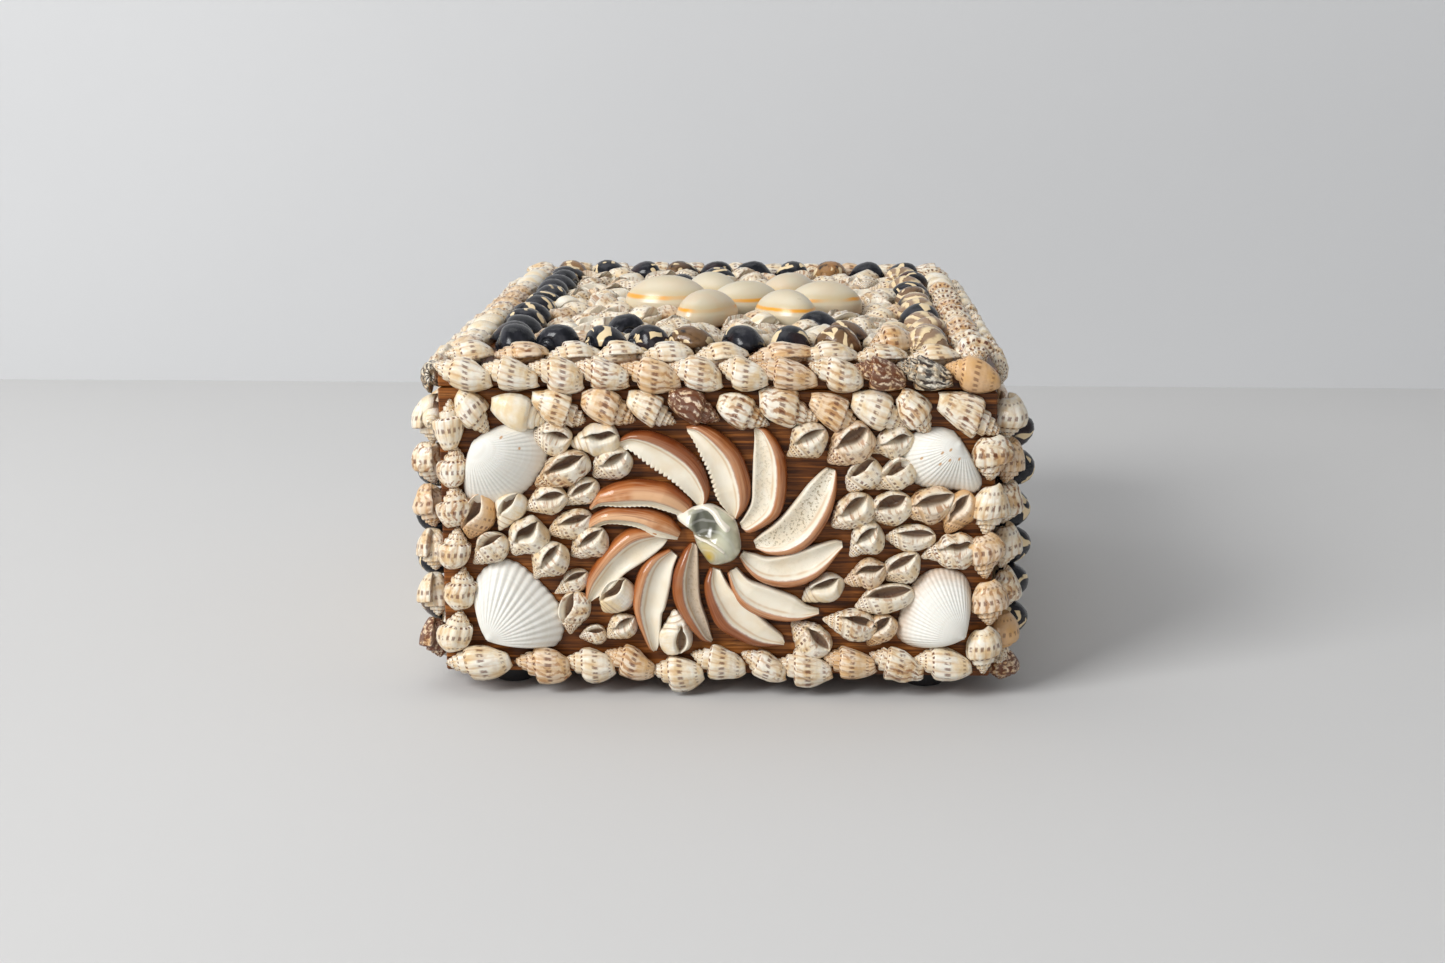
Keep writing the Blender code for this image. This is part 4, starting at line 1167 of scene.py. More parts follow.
def plain_column(cluster, face, across, low, high):
    """A column on a side that the photograph doesn't show, its spires down."""
    rng = cluster.rng
    count = round((high - low) / PITCH)
    pitch = (high - low) / count
    way = -pitch * 0.54
    for i in range(count):
        kind = rng.choice(COMMON)
        middle = low + (i + 0.5) * pitch
        lean = rng.uniform(-0.7, 0.7)
        base, apex = (across - lean, middle - way), (across + lean, middle + way)
        width = rng.uniform(8.4, 9.4)
        row_shell(cluster, face, base, apex, width, FAR_HEIGHT, kind, "far_row")


def plain_row(cluster, face, start, end, level, lean, reverse, width=9.0, height=FAR_HEIGHT):
    """A row on a face that the photograph doesn't show, its spires one way."""
    rng = cluster.rng
    count = round((end - start) / PITCH)
    pitch = (end - start) / count
    way = pitch * 0.55 * (-1.0 if reverse else 1.0)
    for i in range(count):
        middle = start + (i + 0.5) * pitch
        drop = lean + rng.uniform(-0.6, 0.6)
        base, apex = (middle - way, level + drop), (middle + way, level - drop)
        kind = rng.choice(COMMON)
        wide = width * rng.uniform(0.93, 1.04)
        row_shell(cluster, face, base, apex, wide, height, kind, "far_row")


class SHELLBOX_OT_corners(bpy.types.Operator):
    """Lay the columns of shells beside the upright edges"""

    bl_idname = "shell_box.corners"
    bl_label = "Corner Columns"

    def execute(self, context):
        cluster = Cluster(11)
        column(cluster, "front", LEFT_COLUMN, True)
        column(cluster, "left", LEFT_SIDE_COLUMN, False, 1.0, 9.0)
        cluster.finish("shells_left_front", "speckled_shell", "corner_left_front")
        cluster = Cluster(12)
        column(cluster, "front", RIGHT_COLUMN, False)
        column(cluster, "right", RIGHT_SIDE_COLUMN, False, -1.0, 8.8)
        cluster.finish("shells_front_right", "speckled_shell", "corner_front_right")
        for seed, (one, two) in enumerate((("right", "back"), ("back", "left"))):
            cluster = Cluster(13 + seed)
            plain_column(cluster, one, HALF[one] - COLUMN_INSET, 0.0, HIGH)
            plain_column(cluster, two, COLUMN_INSET - HALF[two], LOW, BODY_TOP)
            pair = one + "_" + two
            cluster.finish("shells_" + pair, "speckled_shell", "corner_" + pair)
        return {"FINISHED"}


class SHELLBOX_OT_side_rows(bpy.types.Operator):
    """Lay the top and bottom rows of the two long sides and the back"""

    bl_idname = "shell_box.side_rows"
    bl_label = "Side and Back Rows"

    def execute(self, context):
        for seed, face in enumerate(("left", "right", "back")):
            half = HALF[face]
            cluster = Cluster(20 + seed)
            plain_row(cluster, face, CORNER - half, half, TOP_ROW, 1.7, False)
            node = face + "_top_row"
            cluster.finish("shells_" + node, "speckled_shell", node)
            cluster = Cluster(30 + seed)
            plain_row(cluster, face, -half, half - CORNER, BOTTOM_ROW, 0.0, True)
            node = face + "_bottom_row"
            cluster.finish("shells_" + node, "speckled_shell", node)
        return {"FINISHED"}


# The rows on the lid's other edges: what each leaves free at its start and its end, and how
# far it stands out
LID_EDGES = {"right": (15.0, 0.0, 5.0), "back": (0.0, 0.0, 6.2), "left": (0.0, 10.5, 6.2)}


class SHELLBOX_OT_lid_edges(bpy.types.Operator):
    """Lay the two rows along each edge of the lid"""

    bl_idname = "shell_box.lid_edges"
    bl_label = "Lid Edges"

    def execute(self, context):
        level = LID_LOW[2] + PANEL - WOOD_BASE + EDGE_RISE
        cluster = Cluster(41)
        self.front_rim(cluster)
        self.front_border(cluster)
        cluster.finish("shells_lid_front", "speckled_shell", "lid_edge_front")
        for seed, (face, (first, last, height)) in enumerate(LID_EDGES.items()):
            cluster = Cluster(42 + seed)
            half = HALF[face]
            plain_row(cluster, face, first - half, half - last, level, 0.6, True, 8.6, height)
            self.border(cluster, face, half - (0.0 if face == "back" else LID_CORNER))
            cluster.finish("shells_lid_" + face, "speckled_shell", "lid_edge_" + face)
        return {"FINISHED"}

    def front_rim(self, cluster):
        """The row on the front edge, and the black shell round its left end."""
        for left, right, kind in FRONT_RIM:
            a, b = on_front(right + 3, 382, BASE_OUT), on_front(left - 4, 367, APEX_OUT)
            row_shell(cluster, "front", a[:2], b[:2], 8.7, 6.8, kind)
        base, apex = (HALF_Y - 1.0, 76.4), (HALF_Y - 12.0, 75.0)
        row_shell(cluster, "left", base, apex, 8.6, 5.8, "black")

    def front_border(self, cluster):
        """The row on top of the lid behind the front edge, and two big shells on its right."""
        base, apex = on_lid(912, 345, 4.0).x, on_lid(866, 345, 4.0).x
        place = (base, 15.0 - HALF_Y), (apex, 13.4 - HALF_Y)
        row_shell(cluster, "top", *place, 11.0, 9.4, "tan")
        base, apex = (HALF_X - 5.6, 14.5 - HALF_Y), (HALF_X - 4.4, 0.6 - HALF_Y)
        row_shell(cluster, "top", base, apex, 10.4, 8.0, "net")
        for left, right, kind in FRONT_BORDER:
            base = (on_lid(right + 2, 353, 3.0).x, 5.4 - HALF_Y)
            apex = (on_lid(left, 353, 3.0).x, 3.6 - HALF_Y)
            row_shell(cluster, "top", base, apex, 9.4, 6.4, kind)

    def border(self, cluster, face, half):
        """The row on top of the lid along one edge."""
        rng = cluster.rng
        count = round(2 * half / BORDER_PITCH)
        pitch = 2 * half / count
        turn = rotation(FACES[face][1], "Z")
        inset = (HALF_Y if face == "back" else HALF_X) - BORDER_INSET
        for i in range(count):
            x = -half + (i + 0.5) * pitch
            drop = rng.uniform(-0.6, 0.6)
            base = turn @ Vector((x + pitch * 0.56, -inset + drop, 0.0))
            apex = turn @ Vector((x - pitch * 0.56, -inset - drop, 0.0))
            row_shell(cluster, "top", base[:2], apex[:2], 9.2, 6.0, rng.choice(COMMON))


def nerite(cluster, face, middle, width, height, lean, kind):
    """A round nerite on its mouth, its low spire towards the lean."""
    turn = math.radians(lean)
    way = Vector((math.cos(turn), math.sin(turn), 0.0)) * width * 0.5
    centre = Vector((*middle, height * 0.44))
    roll = cluster.rng.uniform(-20.0, 20.0)
    place = lay(face, centre - way, centre + way, width, height * 1.1, roll)
    cluster.add(forms()["nerite"][0], place, kind, 0.12)


# Nerites along the lid's front: their pixel across the photograph and their kind
FRONT_NERITES = (
    (514, 0), (559, 0), (605, 1), (650, 1), (692, 2), (744, 1), (790, 1), (840, 2), (928, 4),
)
# Nerites that strayed among the small shells of the lid, in pixels
STRAY_NERITES = ((627, 325, 0), (820, 322, 0), (848, 332, 2), (682, 284, 0), (716, 277, 1))
# How many tents a nerite has, how worn its apex is, and how brown it is, or dull over 1.5
NERITE_KINDS = (
    (0.3, 0.0, 0.0), (1.0, 0.0, 0.2), (0.9, 0.3, 0.8), (1.0, 0.6, 1.0), (0.3, 0.2, 2.0),
)
# Nerites on the long sides: their heights, how far they stand out and their kinds
SIDE_NERITES = {
    "left": ((14.4, 26.6, 38.8, 51.0), (9.4, 10.2), NERITE_KINDS[:4]),
    "right": ((11.0, 21.2, 31.2, 41.6, 51.6, 61.0), (11.2, 12.0), NERITE_KINDS[1:2]),
}


class SHELLBOX_OT_nerites(bpy.types.Operator):
    """Lay the ring of nerites on the lid and the columns on the long sides"""

    bl_idname = "shell_box.nerites"
    bl_label = "Nerites"

    def execute(self, context):
        self.ring(context.scene.shell_box.sizes.nerite / MM)
        for seed, face in enumerate(SIDE_NERITES):
            for end in (-1, 1):
                self.side(Cluster(55 + 2 * seed + end), face, end)
        return {"FINISHED"}

    def ring(self, width):
        """The ring round the lid, and the nerites that strayed from it."""
        cluster = Cluster(51)
        rng = cluster.rng
        for x, kind in FRONT_NERITES:
            place = (on_lid(x, 345, 4.0).x, NERITE_INSET - HALF_Y)
            nerite(cluster, "top", place, width, 8.8, rng.uniform(150, 260), NERITE_KINDS[kind])
        for x, y, kind in STRAY_NERITES:
            place = on_lid(x, y, 5.0)[:2]
            nerite(cluster, "top", place, width, 8.2, rng.uniform(0, 360), NERITE_KINDS[kind])
        far_x, far_y = HALF_X - NERITE_INSET, HALF_Y - NERITE_INSET
        for side in (-1, 1):
            for i in range(1, 12):
                y = -far_y + i * (2 * far_y) / 12
                x = side * far_x + rng.uniform(-0.5, 0.5)
                kind = rng.choice(NERITE_KINDS[1:] if side > 0 else NERITE_KINDS[:2])
                if side > 0 and rng.random() < 0.5:
                    kind = NERITE_KINDS[-1]
                nerite(cluster, "top", (x, y), width, 7.6, rng.uniform(0, 360), kind)
        for i in range(10):
            x = -far_x + i * (2 * far_x) / 9
            kind = rng.choice(NERITE_KINDS)
            nerite(cluster, "top", (x, far_y), width, 7.6, rng.uniform(0, 360), kind)
        cluster.finish("nerites_on_lid", "black_nerite", "lid_nerite_ring")

    def side(self, cluster, face, end):
        """The column at one end of a long side."""
        rng = cluster.rng
        ups, tall, kinds = SIDE_NERITES[face]
        for up in ups:
            across = end * (HALF_Y - SIDE_NERITE_INSET) + rng.uniform(-0.4, 0.4)
            lean, kind = rng.uniform(0, 360), rng.choice(kinds)
            width, height = rng.uniform(11.2, 12.0), rng.uniform(*tall)
            nerite(cluster, face, (across, up), width, height, lean, kind)
        where = "front" if (face == "right") == (end < 0) else "back"
        cluster.finish("nerites_" + face + "_" + where, "black_nerite", face + "_nerites_" + where)


# Small shells on the front, mouth up: across, up, length, width, lean and kind
FRONT_LEFT = (
    (-41.5, 62.0, 9.5, 7.5, -10, "cream"),
    (-30.5, 61.5, 11.5, 7.5, 10, "white"),
    (-26.5, 55.0, 10.0, 8.0, 35, "cream"),
    (-39.0, 53.5, 14.0, 8.5, 30, "net"),
    (-34.5, 47.5, 10.0, 6.5, 40, "cream"),
    (-43.0, 45.5, 10.0, 7.5, 20, "cream"),
    (-60.5, 41.5, 11.5, 7.5, 70, "orange"),
    (-52.5, 43.0, 10.0, 7.5, 60, "white"),
    (-37.0, 39.5, 11.0, 7.0, 20, "dash"),
    (-48.0, 36.0, 10.5, 9.0, 45, "cream"),
    (-32.5, 34.5, 10.0, 8.0, 40, "dash"),
    (-58.0, 33.0, 10.0, 8.0, 40, "dash"),
    (-42.5, 30.0, 10.5, 8.5, 55, "cream"),
    (-37.0, 24.0, 9.0, 5.5, 30, "dash"),
    (-36.5, 16.5, 10.5, 7.0, 80, "net"),
    (-25.5, 21.0, 9.5, 8.0, 50, "white"),
    (-31.5, 10.5, 6.5, 5.5, 10, "net"),
    (-24.5, 12.5, 8.0, 6.5, 35, "cream"),
)
FRONT_RIGHT = (
    (22.5, 61.5, 10.5, 8.5, 35, "cream"),
    (33.5, 60.5, 12.5, 10.0, 40, "tan"),
    (43.5, 61.0, 11.5, 7.5, 20, "cream"),
    (36.5, 53.0, 10.0, 7.6, 45, "cream"),
    (44.5, 53.0, 10.5, 7.5, 35, "cream"),
    (34.0, 43.5, 11.0, 8.5, 40, "dash"),
    (44.0, 44.5, 10.5, 8.0, 35, "cream"),
    (54.0, 45.5, 12.0, 8.5, 20, "tan"),
    (61.0, 43.5, 11.0, 7.5, 60, "orange"),
    (37.5, 36.0, 10.0, 8.5, 45, "cream"),
    (49.0, 37.0, 11.0, 6.5, 0, "cream"),
    (59.0, 33.5, 13.0, 8.5, 10, "net"),
    (37.5, 27.0, 10.5, 7.6, 20, "tan"),
    (47.0, 29.0, 9.5, 7.5, 40, "cream"),
    (27.0, 23.0, 10.5, 7.0, 30, "white"),
    (42.5, 21.0, 14.0, 7.0, 15, "cream"),
    (34.0, 14.0, 12.5, 8.0, -10, "net"),
    (24.0, 10.5, 11.0, 8.5, -40, "dash"),
    (42.0, 12.5, 9.0, 7.0, 50, "tan"),
)
FLOWER = (5.0, -2.0)
PETALS = (0.0, 56.0, 118.0, 180.0, 242.0, 302.0)
FILL_KINDS = ("white", "cream", "cream", "cream", "dash", "tan", "net")


def petal(angle, reach):
    """The place on the lid this far out from the middle of the flower."""
    turn = math.radians(angle)
    return FLOWER[0] + reach * math.cos(turn), FLOWER[1] + reach * math.sin(turn)


def scatter(cluster, face, low, high, clear=(), lie=FAR_NEAT):
    """Packs a rectangle of a face with small shells, mouth up, outside the clear circles."""
    rng = cluster.rng
    count = round((high[0] - low[0]) / FILL_PITCH[0])
    step = (high[0] - low[0]) / count
    rows = round((high[1] - low[1]) / FILL_PITCH[1])
    pitch = (high[1] - low[1]) / rows
    for i in range(rows):
        for j in range(count):
            x = low[0] + (j + 0.5 + (0.22 if i % 2 else -0.22)) * step + rng.uniform(-0.8, 0.8)
            y = low[1] + (i + 0.5) * pitch + rng.uniform(-0.8, 0.8)
            if any(math.hypot(x - a, y - b) < radius for a, b, radius in clear):
                continue
            turn = rng.gauss(40.0, 24.0) + (180.0 if rng.random() < 0.4 else 0.0)
            length, width = rng.uniform(9.6, 11.6), rng.uniform(7.0, 8.2)
            kind = rng.choice(FILL_KINDS)
            mouth_shell(cluster, face, (x, y), length, width, turn, kind, lie)


class SHELLBOX_OT_fills(bpy.types.Operator):
    """Pack the small shells over the front, the lid, the sides and the back"""

    bl_idname = "shell_box.fills"
    bl_label = "Small Shells"

    def execute(self, context):
        for name, table, seed in (("left", FRONT_LEFT, 61), ("right", FRONT_RIGHT, 62)):
            cluster = Cluster(seed)
            for across, up, length, width, lean, kind in table:
                mouth_shell(cluster, "front", (across, up), length, width, lean + 180.0, kind)
            node = "front_fill_" + name
            cluster.finish("shells_" + node, "cream_shell", node)
        cluster = Cluster(63)
        mouth_shell(cluster, "front", (-10.5, 11.5), 10.5, 7.6, 95.0, "white")
        cluster.finish("shell_white", "cream_shell", "front_white_shell")
        self.lid(Cluster(64))
        for seed, face in enumerate(("left", "right", "back")):
            cluster = Cluster(65 + seed)
            x = HALF[face] - (CORNER if face == "back" else SIDE_FILL_INSET)
            scatter(cluster, face, (-x, LOW), (x, HIGH))
            node = face + "_fill"
            cluster.finish("shells_" + node, "cream_shell", node)
        return {"FINISHED"}

    def lid(self, cluster):
        """The small shells on the lid, clear of the flower and the stray nerites."""
        clear = [(*FLOWER, 14.0)]
        for angle in PETALS:
            clear += [(*petal(angle, reach), 9.6) for reach in (18.0, 27.5)]
        clear += [(*on_lid(x, y, 5.0)[:2], 5.2) for x, y, _ in STRAY_NERITES]
        x, y = HALF_X - LID_FILL_INSET, HALF_Y - LID_FILL_INSET
        scatter(cluster, "top", (-x, -y), (x, y), clear, TUMBLED)
        cluster.finish("shells_lid_fill", "cream_shell", "lid_fill")


# Cowries: half the width and the height for their length, how much of the height is under
# the dome, where the margin starts, and how far they lie above the lid
COWRIE_WIDTH = 0.355
COWRIE_HEIGHT = 0.477
COWRIE_FOOT = 0.16
COWRIE_MARGIN = 0.84
COWRIE_RISE = 0.3


class SHELLBOX_OT_flower(bpy.types.Operator):
    """Set the flower of ring cowries on the lid"""

    bl_idname = "shell_box.flower"
    bl_label = "Cowrie Flower"

    def execute(self, context):
        length = context.scene.shell_box.sizes.cowrie / MM
        places = [(*FLOWER, 20.0)]
        places += [(*petal(angle, length + 0.8), angle) for angle in PETALS]
        for i, (x, y, angle) in enumerate(places):
            self.cowrie(i, x, y, angle, length * (1.14 if angle == 180.0 else 1.0))
        return {"FINISHED"}

    def cowrie(self, index, x, y, angle, length):
        """A ball pressed into a cowrie with a flat margin, turned to its angle."""
        deselect()
        bpy.ops.mesh.primitive_uv_sphere_add(segments=48, ring_count=28, radius=1.0)
        obj = context_object("ring_cowrie_" + str(index))
        points = np.empty(len(obj.data.vertices) * 3)
        obj.data.vertices.foreach_get("co", points)
        points = points.reshape(-1, 3)
        flat = np.hypot(points[:, 0], points[:, 1])
        angles = np.arctan2(points[:, 1], points[:, 0])
        up = points[:, 2]
        ring = np.where(up >= 0.0, flat, 1.0 + (1.0 - flat) * 0.2)
        stretch = 1.0 - 0.12 * np.cos(angles)
        dome = np.sqrt(np.clip(1.0 - (flat / 1.04) ** 2.2, 0.0, 1.0))
        rise = COWRIE_FOOT * (1.0 + up)
        rise = np.where(up >= 0.0, COWRIE_FOOT + (1.0 - COWRIE_FOOT) * dome, rise)
        pinch = np.where(ring > COWRIE_MARGIN, 1.0, 0.92 + 0.08 * ring / COWRIE_MARGIN)
        turn = math.radians(angle)
        a = points[:, 0] * length / 2 * pinch
        b = points[:, 1] * length * COWRIE_WIDTH * stretch * pinch
        made = np.empty_like(points)
        made[:, 0] = x + a * math.cos(turn) - b * math.sin(turn)
        made[:, 1] = y + a * math.sin(turn) + b * math.cos(turn)
        made[:, 2] = LID_TOP + COWRIE_RISE + rise * length * COWRIE_HEIGHT
        obj.data.vertices.foreach_set("co", (made * MM).ravel())
        grain = obj.data.attributes.new("grain", "FLOAT_VECTOR", "POINT")
        values = np.stack([angles / math.tau, ring, np.full(len(ring), index * 3.0)], 1)
        grain.data.foreach_set("vector", values.astype(np.float32).ravel())
        bpy.ops.object.shade_smooth()
        obj.data.materials.append(finish_for("ring_cowrie"))
        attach(obj, "root")
        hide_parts("cowrie_" + str(index))


# Each cockle: its beak, its margin round the fan, how many ribs and how high, its stain and
# its brown spots, in pixels
COCKLES = {
    "cockle_top_left": (
        (473, 441), ((482, 434), (497, 427), (516, 423), (537, 428), (547, 444), (546, 462),
                     (536, 480), (522, 494), (507, 503), (490, 505), (473, 503), (465, 494),
                     (464, 475), (467, 455)), 40, 0.5, 0.25, ((501, 437.5), (519, 449))),
    "cockle_bottom_left": (
        (488, 637), ((480, 626), (475, 608), (473, 592), (477, 578), (487, 566), (502, 559),
                     (518, 563), (532, 574), (546, 588), (558, 603), (564, 620), (562, 637),
                     (552, 647), (528, 646), (503, 642)), 27, 1.0, 0.05, ()),
    "cockle_top_right": (
        (961, 439), ((954, 431), (938, 427), (918, 431), (904, 443), (899, 458), (905, 472),
                     (918, 485), (936, 489), (955, 490), (974, 493), (982, 482), (974, 460)),
        34, 0.6, 0.1, ((942.2, 451.9), (950.5, 449.0), (949.5, 459.2), (959.1, 458.3),
                       (921.8, 458.9), (940.0, 463.4))),
    "cockle_bottom_right": (
        (965, 635), ((971, 612), (971, 590), (963, 574), (948, 569), (931, 570), (916, 580),
                     (905, 596), (899, 616), (896, 634), (908, 645), (928, 648), (948, 644)),
        38, 0.5, 0.9, ()),
}


def grid_form(rows, grain, mask=None):
    """A closed form from rings of points, its ends closed round the middles of their rings."""
    layers = [np.array(rows), np.array(grain)]
    layers.append(np.zeros_like(layers[0]) if mask is None else np.array(mask))
    closed = [
        np.vstack([layer.reshape(-1, 3), layer[0].mean(axis=0), layer[-1].mean(axis=0)])
        for layer in layers
    ]
    return Form(*closed, len(rows[0]))


# How many rings a cockle has from beak to margin, and points across each of its ribs
COCKLE_RINGS = 40
RIB_POINTS = 6


class SHELLBOX_OT_cockles(bpy.types.Operator):
    """Model the four ribbed cockles in the corners of the front"""

    bl_idname = "shell_box.cockles"
    bl_label = "Cockles"

    def execute(self, context):
        height = context.scene.shell_box.sizes.cockle / MM
        for seed, (node, (beak, margin, ribs, relief, stain, spots)) in enumerate(COCKLES.items()):
            cluster = Cluster(71 + seed)
            form = self.fan(beak, margin, ribs, relief, spots, height)
            cluster.add(form, face_matrix("front"), (stain, 0.0, 0.0))
            turn_outwards(cluster.finish("shell_" + node, "white_shell", node))
        return {"FINISHED"}

    def fan(self, beak, margin, ribs, relief, spots, height):
        """Rings of points from the beak out to the margin, and back under it."""
        centre = np.array(on_front(*beak, 2.0)[:2])
        dots = [np.array(on_front(x, y, 6.0)[:2]) for x, y in spots]
        wide = ribs * RIB_POINTS
        shares = np.linspace(0.0, 1.0, wide)
        edge = resample([on_front(x, y, 1.0) for x, y in margin], shares)
        rows, grain, mask = [], [], []
        side = np.sin(np.pi * shares) ** 0.5
        rib = np.abs(np.sin(np.pi * shares * ribs)) ** 1.3 - 0.5
        fade = np.clip(side * 1.6 - 0.3, 0.0, 1.0)
        for reach in np.linspace(0.0, 1.0, COCKLE_RINGS):
            radius = 0.03 + 0.97 * reach
            arc = math.sin(math.pi * (0.24 + 0.76 * reach) ** 0.85) ** 0.8 if reach < 1.0 else 0.0
            grow = min(1.0, max(0.0, reach - 0.12) * 2.2)
            rise = height * arc * (0.35 + 0.65 * side) + 0.75 + rib * 0.36 * relief * grow * fade
            rise = rise + 0.012 * math.sin(reach * 75.0) * grow
            swell = 1.0 + 0.012 * rib * relief * (reach > 0.95)
            flat = centre + (edge - centre) * (radius * swell)[:, None]
            marks = np.zeros(wide)
            for dot in dots:
                away = (flat - dot) @ np.array(((0.8, 0.6), (-0.6, 0.8)))
                marks += np.exp(-((away[:, 0] / 0.34) ** 2) - (away[:, 1] / 0.56) ** 2)
            rows.append(np.column_stack([flat, rise]))
            grain.append(np.column_stack([shares, np.full(wide, reach), np.zeros(wide)]))
            mask.append(np.column_stack([marks, np.zeros(wide), np.zeros(wide)]))
        for radius, rise in ((0.97, 0.25), (0.03, 0.25)):
            flat = centre + (edge - centre) * radius
            rows.append(np.column_stack([flat, np.full(wide, rise)]))
            grain.append(grain[-1])
            mask.append(np.zeros((wide, 3)))
        rows.append(rows[0] - np.array((0.0, 0.0, 0.05)))
        grain.append(grain[-1])
        mask.append(np.zeros((wide, 3)))
        return grid_form(rows, grain, mask)


def turn_outwards(obj):
    """Points every face of a closed piece outwards."""
    pick(obj)
    bpy.ops.object.mode_set(mode="EDIT")
    bpy.ops.mesh.select_all(action="SELECT")
    bpy.ops.mesh.normals_make_consistent(inside=False)
    bpy.ops.object.mode_set(mode="OBJECT")


# Each cut lip: its rounded side and its cut side from tip to inner end, in pixels, then how
# deep its teeth are, how dark its side is (below 0, a stronger painted highlight on its top),
# how pitted its face is and how much is side
LIPS = {
    "a": (((613, 443), (625, 434), (637, 431), (655, 433), (675, 441), (692, 453), (704, 468),
           (711, 486), (711, 497), (707, 506)),
          ((613, 449), (622, 452), (631, 453), (652, 469), (673, 483), (685, 495), (695, 506)),
          1.0, 0.5, 0.0, 0.3),
    "b": (((686, 426), (700, 423), (720, 433), (739, 451), (748, 471), (752, 491), (749, 507),
           (739, 521)),
          ((687, 434), (698, 453), (708, 474), (717, 501), (729, 517)), 1.0, 0.2, 0.0, 0.34),
    "c": (((758, 427), (769, 430), (781, 446), (787, 466), (787, 491), (782, 512), (771, 524),
           (751, 536), (743, 532)),
          ((753, 431), (753, 456), (752, 486), (751, 502), (744, 515), (739, 523)),
          0.0, 0.2, 0.4, 0.3),
    "d": (((838, 472), (839, 480), (837, 497), (828, 522), (812, 544), (792, 555), (771, 557),
           (757, 552)),
          ((829, 470), (824, 469), (812, 480), (792, 505), (776, 522), (761, 533), (753, 541)),
          0.0, 0.15, 1.0, 0.22),
    "e": (((843, 551), (825, 572), (804, 585), (782, 588), (760, 582), (746, 572), (738, 560)),
          ((842, 542), (831, 541), (798, 551), (771, 558), (755, 554), (744, 552)),
          0.0, 0.1, 0.1, 0.25),
    "f": (((819, 617), (793, 622), (766, 619), (746, 610), (733, 596), (725, 576)),
          ((819, 610), (807, 606), (794, 597), (771, 588), (751, 581), (738, 568)),
          0.0, 0.1, 0.0, 0.26),
    "g": (((783, 648), (760, 648), (739, 641), (717, 628), (707, 607), (702, 585), (707, 569)),
          ((785, 643), (782, 635), (766, 622), (751, 607), (733, 590), (722, 572)),
          0.0, 0.6, 0.0, 0.34),
    "h": (((710, 645), (699, 641), (685, 623), (673, 601), (672, 577), (681, 553), (688, 545)),
          ((713, 641), (709, 625), (701, 601), (699, 577), (699, 552), (697, 546)),
          0.0, 0.45, 0.6, 0.44),
    "i": (((652, 653), (646, 647), (636, 620), (632, 601), (637, 574), (649, 556), (666, 549)),
          ((657, 652), (660, 644), (662, 616), (666, 606), (674, 572), (679, 559)),
          0.0, 0.1, 0.0, 0.28),
    "j": (((586, 603), (584, 595), (588, 574), (608, 546), (627, 530), (646, 528), (662, 533)),
          ((590, 604), (593, 602), (610, 590), (624, 575), (639, 565), (661, 551), (668, 543)),
          0.0, 0.0, 0.1, 0.34),
    "k": (((583, 528), (591, 516), (608, 508), (627, 507), (651, 510), (671, 518), (682, 530)),
          ((586, 532), (594, 530), (608, 524), (627, 525), (642, 529), (656, 537), (676, 543)),
          0.3, -1.0, 0.1, 0.68),
    "l": (((588, 507), (594, 494), (603, 488), (627, 480), (651, 481), (673, 486), (690, 498),
           (695, 507)),
          ((591, 512), (603, 507), (627, 507), (651, 507), (670, 514), (682, 521)),
          0.9, -0.8, 0.0, 0.72),
}
# Across a lip from its rounded side: share of the width, share of the height
LIP_SECTION = (
    (0.02, 0.05), (0.0, 0.28), (0.012, 0.54), (0.05, 0.77), (0.12, 0.93), (0.2, 1.0), (0.27, 1.0),
    (0.31, 0.97), (0.35, 0.88), (0.41, 0.76), (0.5, 0.67), (0.62, 0.62), (0.74, 0.64),
    (0.84, 0.71), (0.91, 0.77), (0.955, 0.78), (0.99, 0.66), (1.0, 0.36), (0.97, 0.05),
)

# The hub shell in pixels: its edge, its hollow, where a shadow is painted, and two yellow spots,
# and its white lines
HUB_EDGE = (
    (676, 517), (678, 522), (682, 523), (686, 527), (689, 530), (692, 528), (693, 536), (697, 547),
    (702, 555), (708, 563), (713, 566), (724, 565), (734, 561), (740, 553), (741, 544), (739, 533),
    (736, 523), (731, 517), (723, 511), (713, 506), (705, 505), (697, 507), (688, 510), (682, 513),
)
HUB_SPOTS = ((705, 525), (709, 557), (708, 547))
HUB_LINES = (
    (((695, 509), (702, 508), (709, 510), (715, 515), (719, 521), (727, 528)), 0.72),
    (((695, 538), (707, 541), (716, 545), (724, 551)), 0.3),
)
# Sections of a plain and of a toothed lip, how many half waves its teeth make, and from
# which share of its section they are cut
LIP_STEPS = 121
TOOTHED_STEPS = 241
TEETH = 20
TOOTHED = 0.92
# Points round the hub's edge, and rings from there to its middle
HUB_POINTS = 200
HUB_RINGS = 46


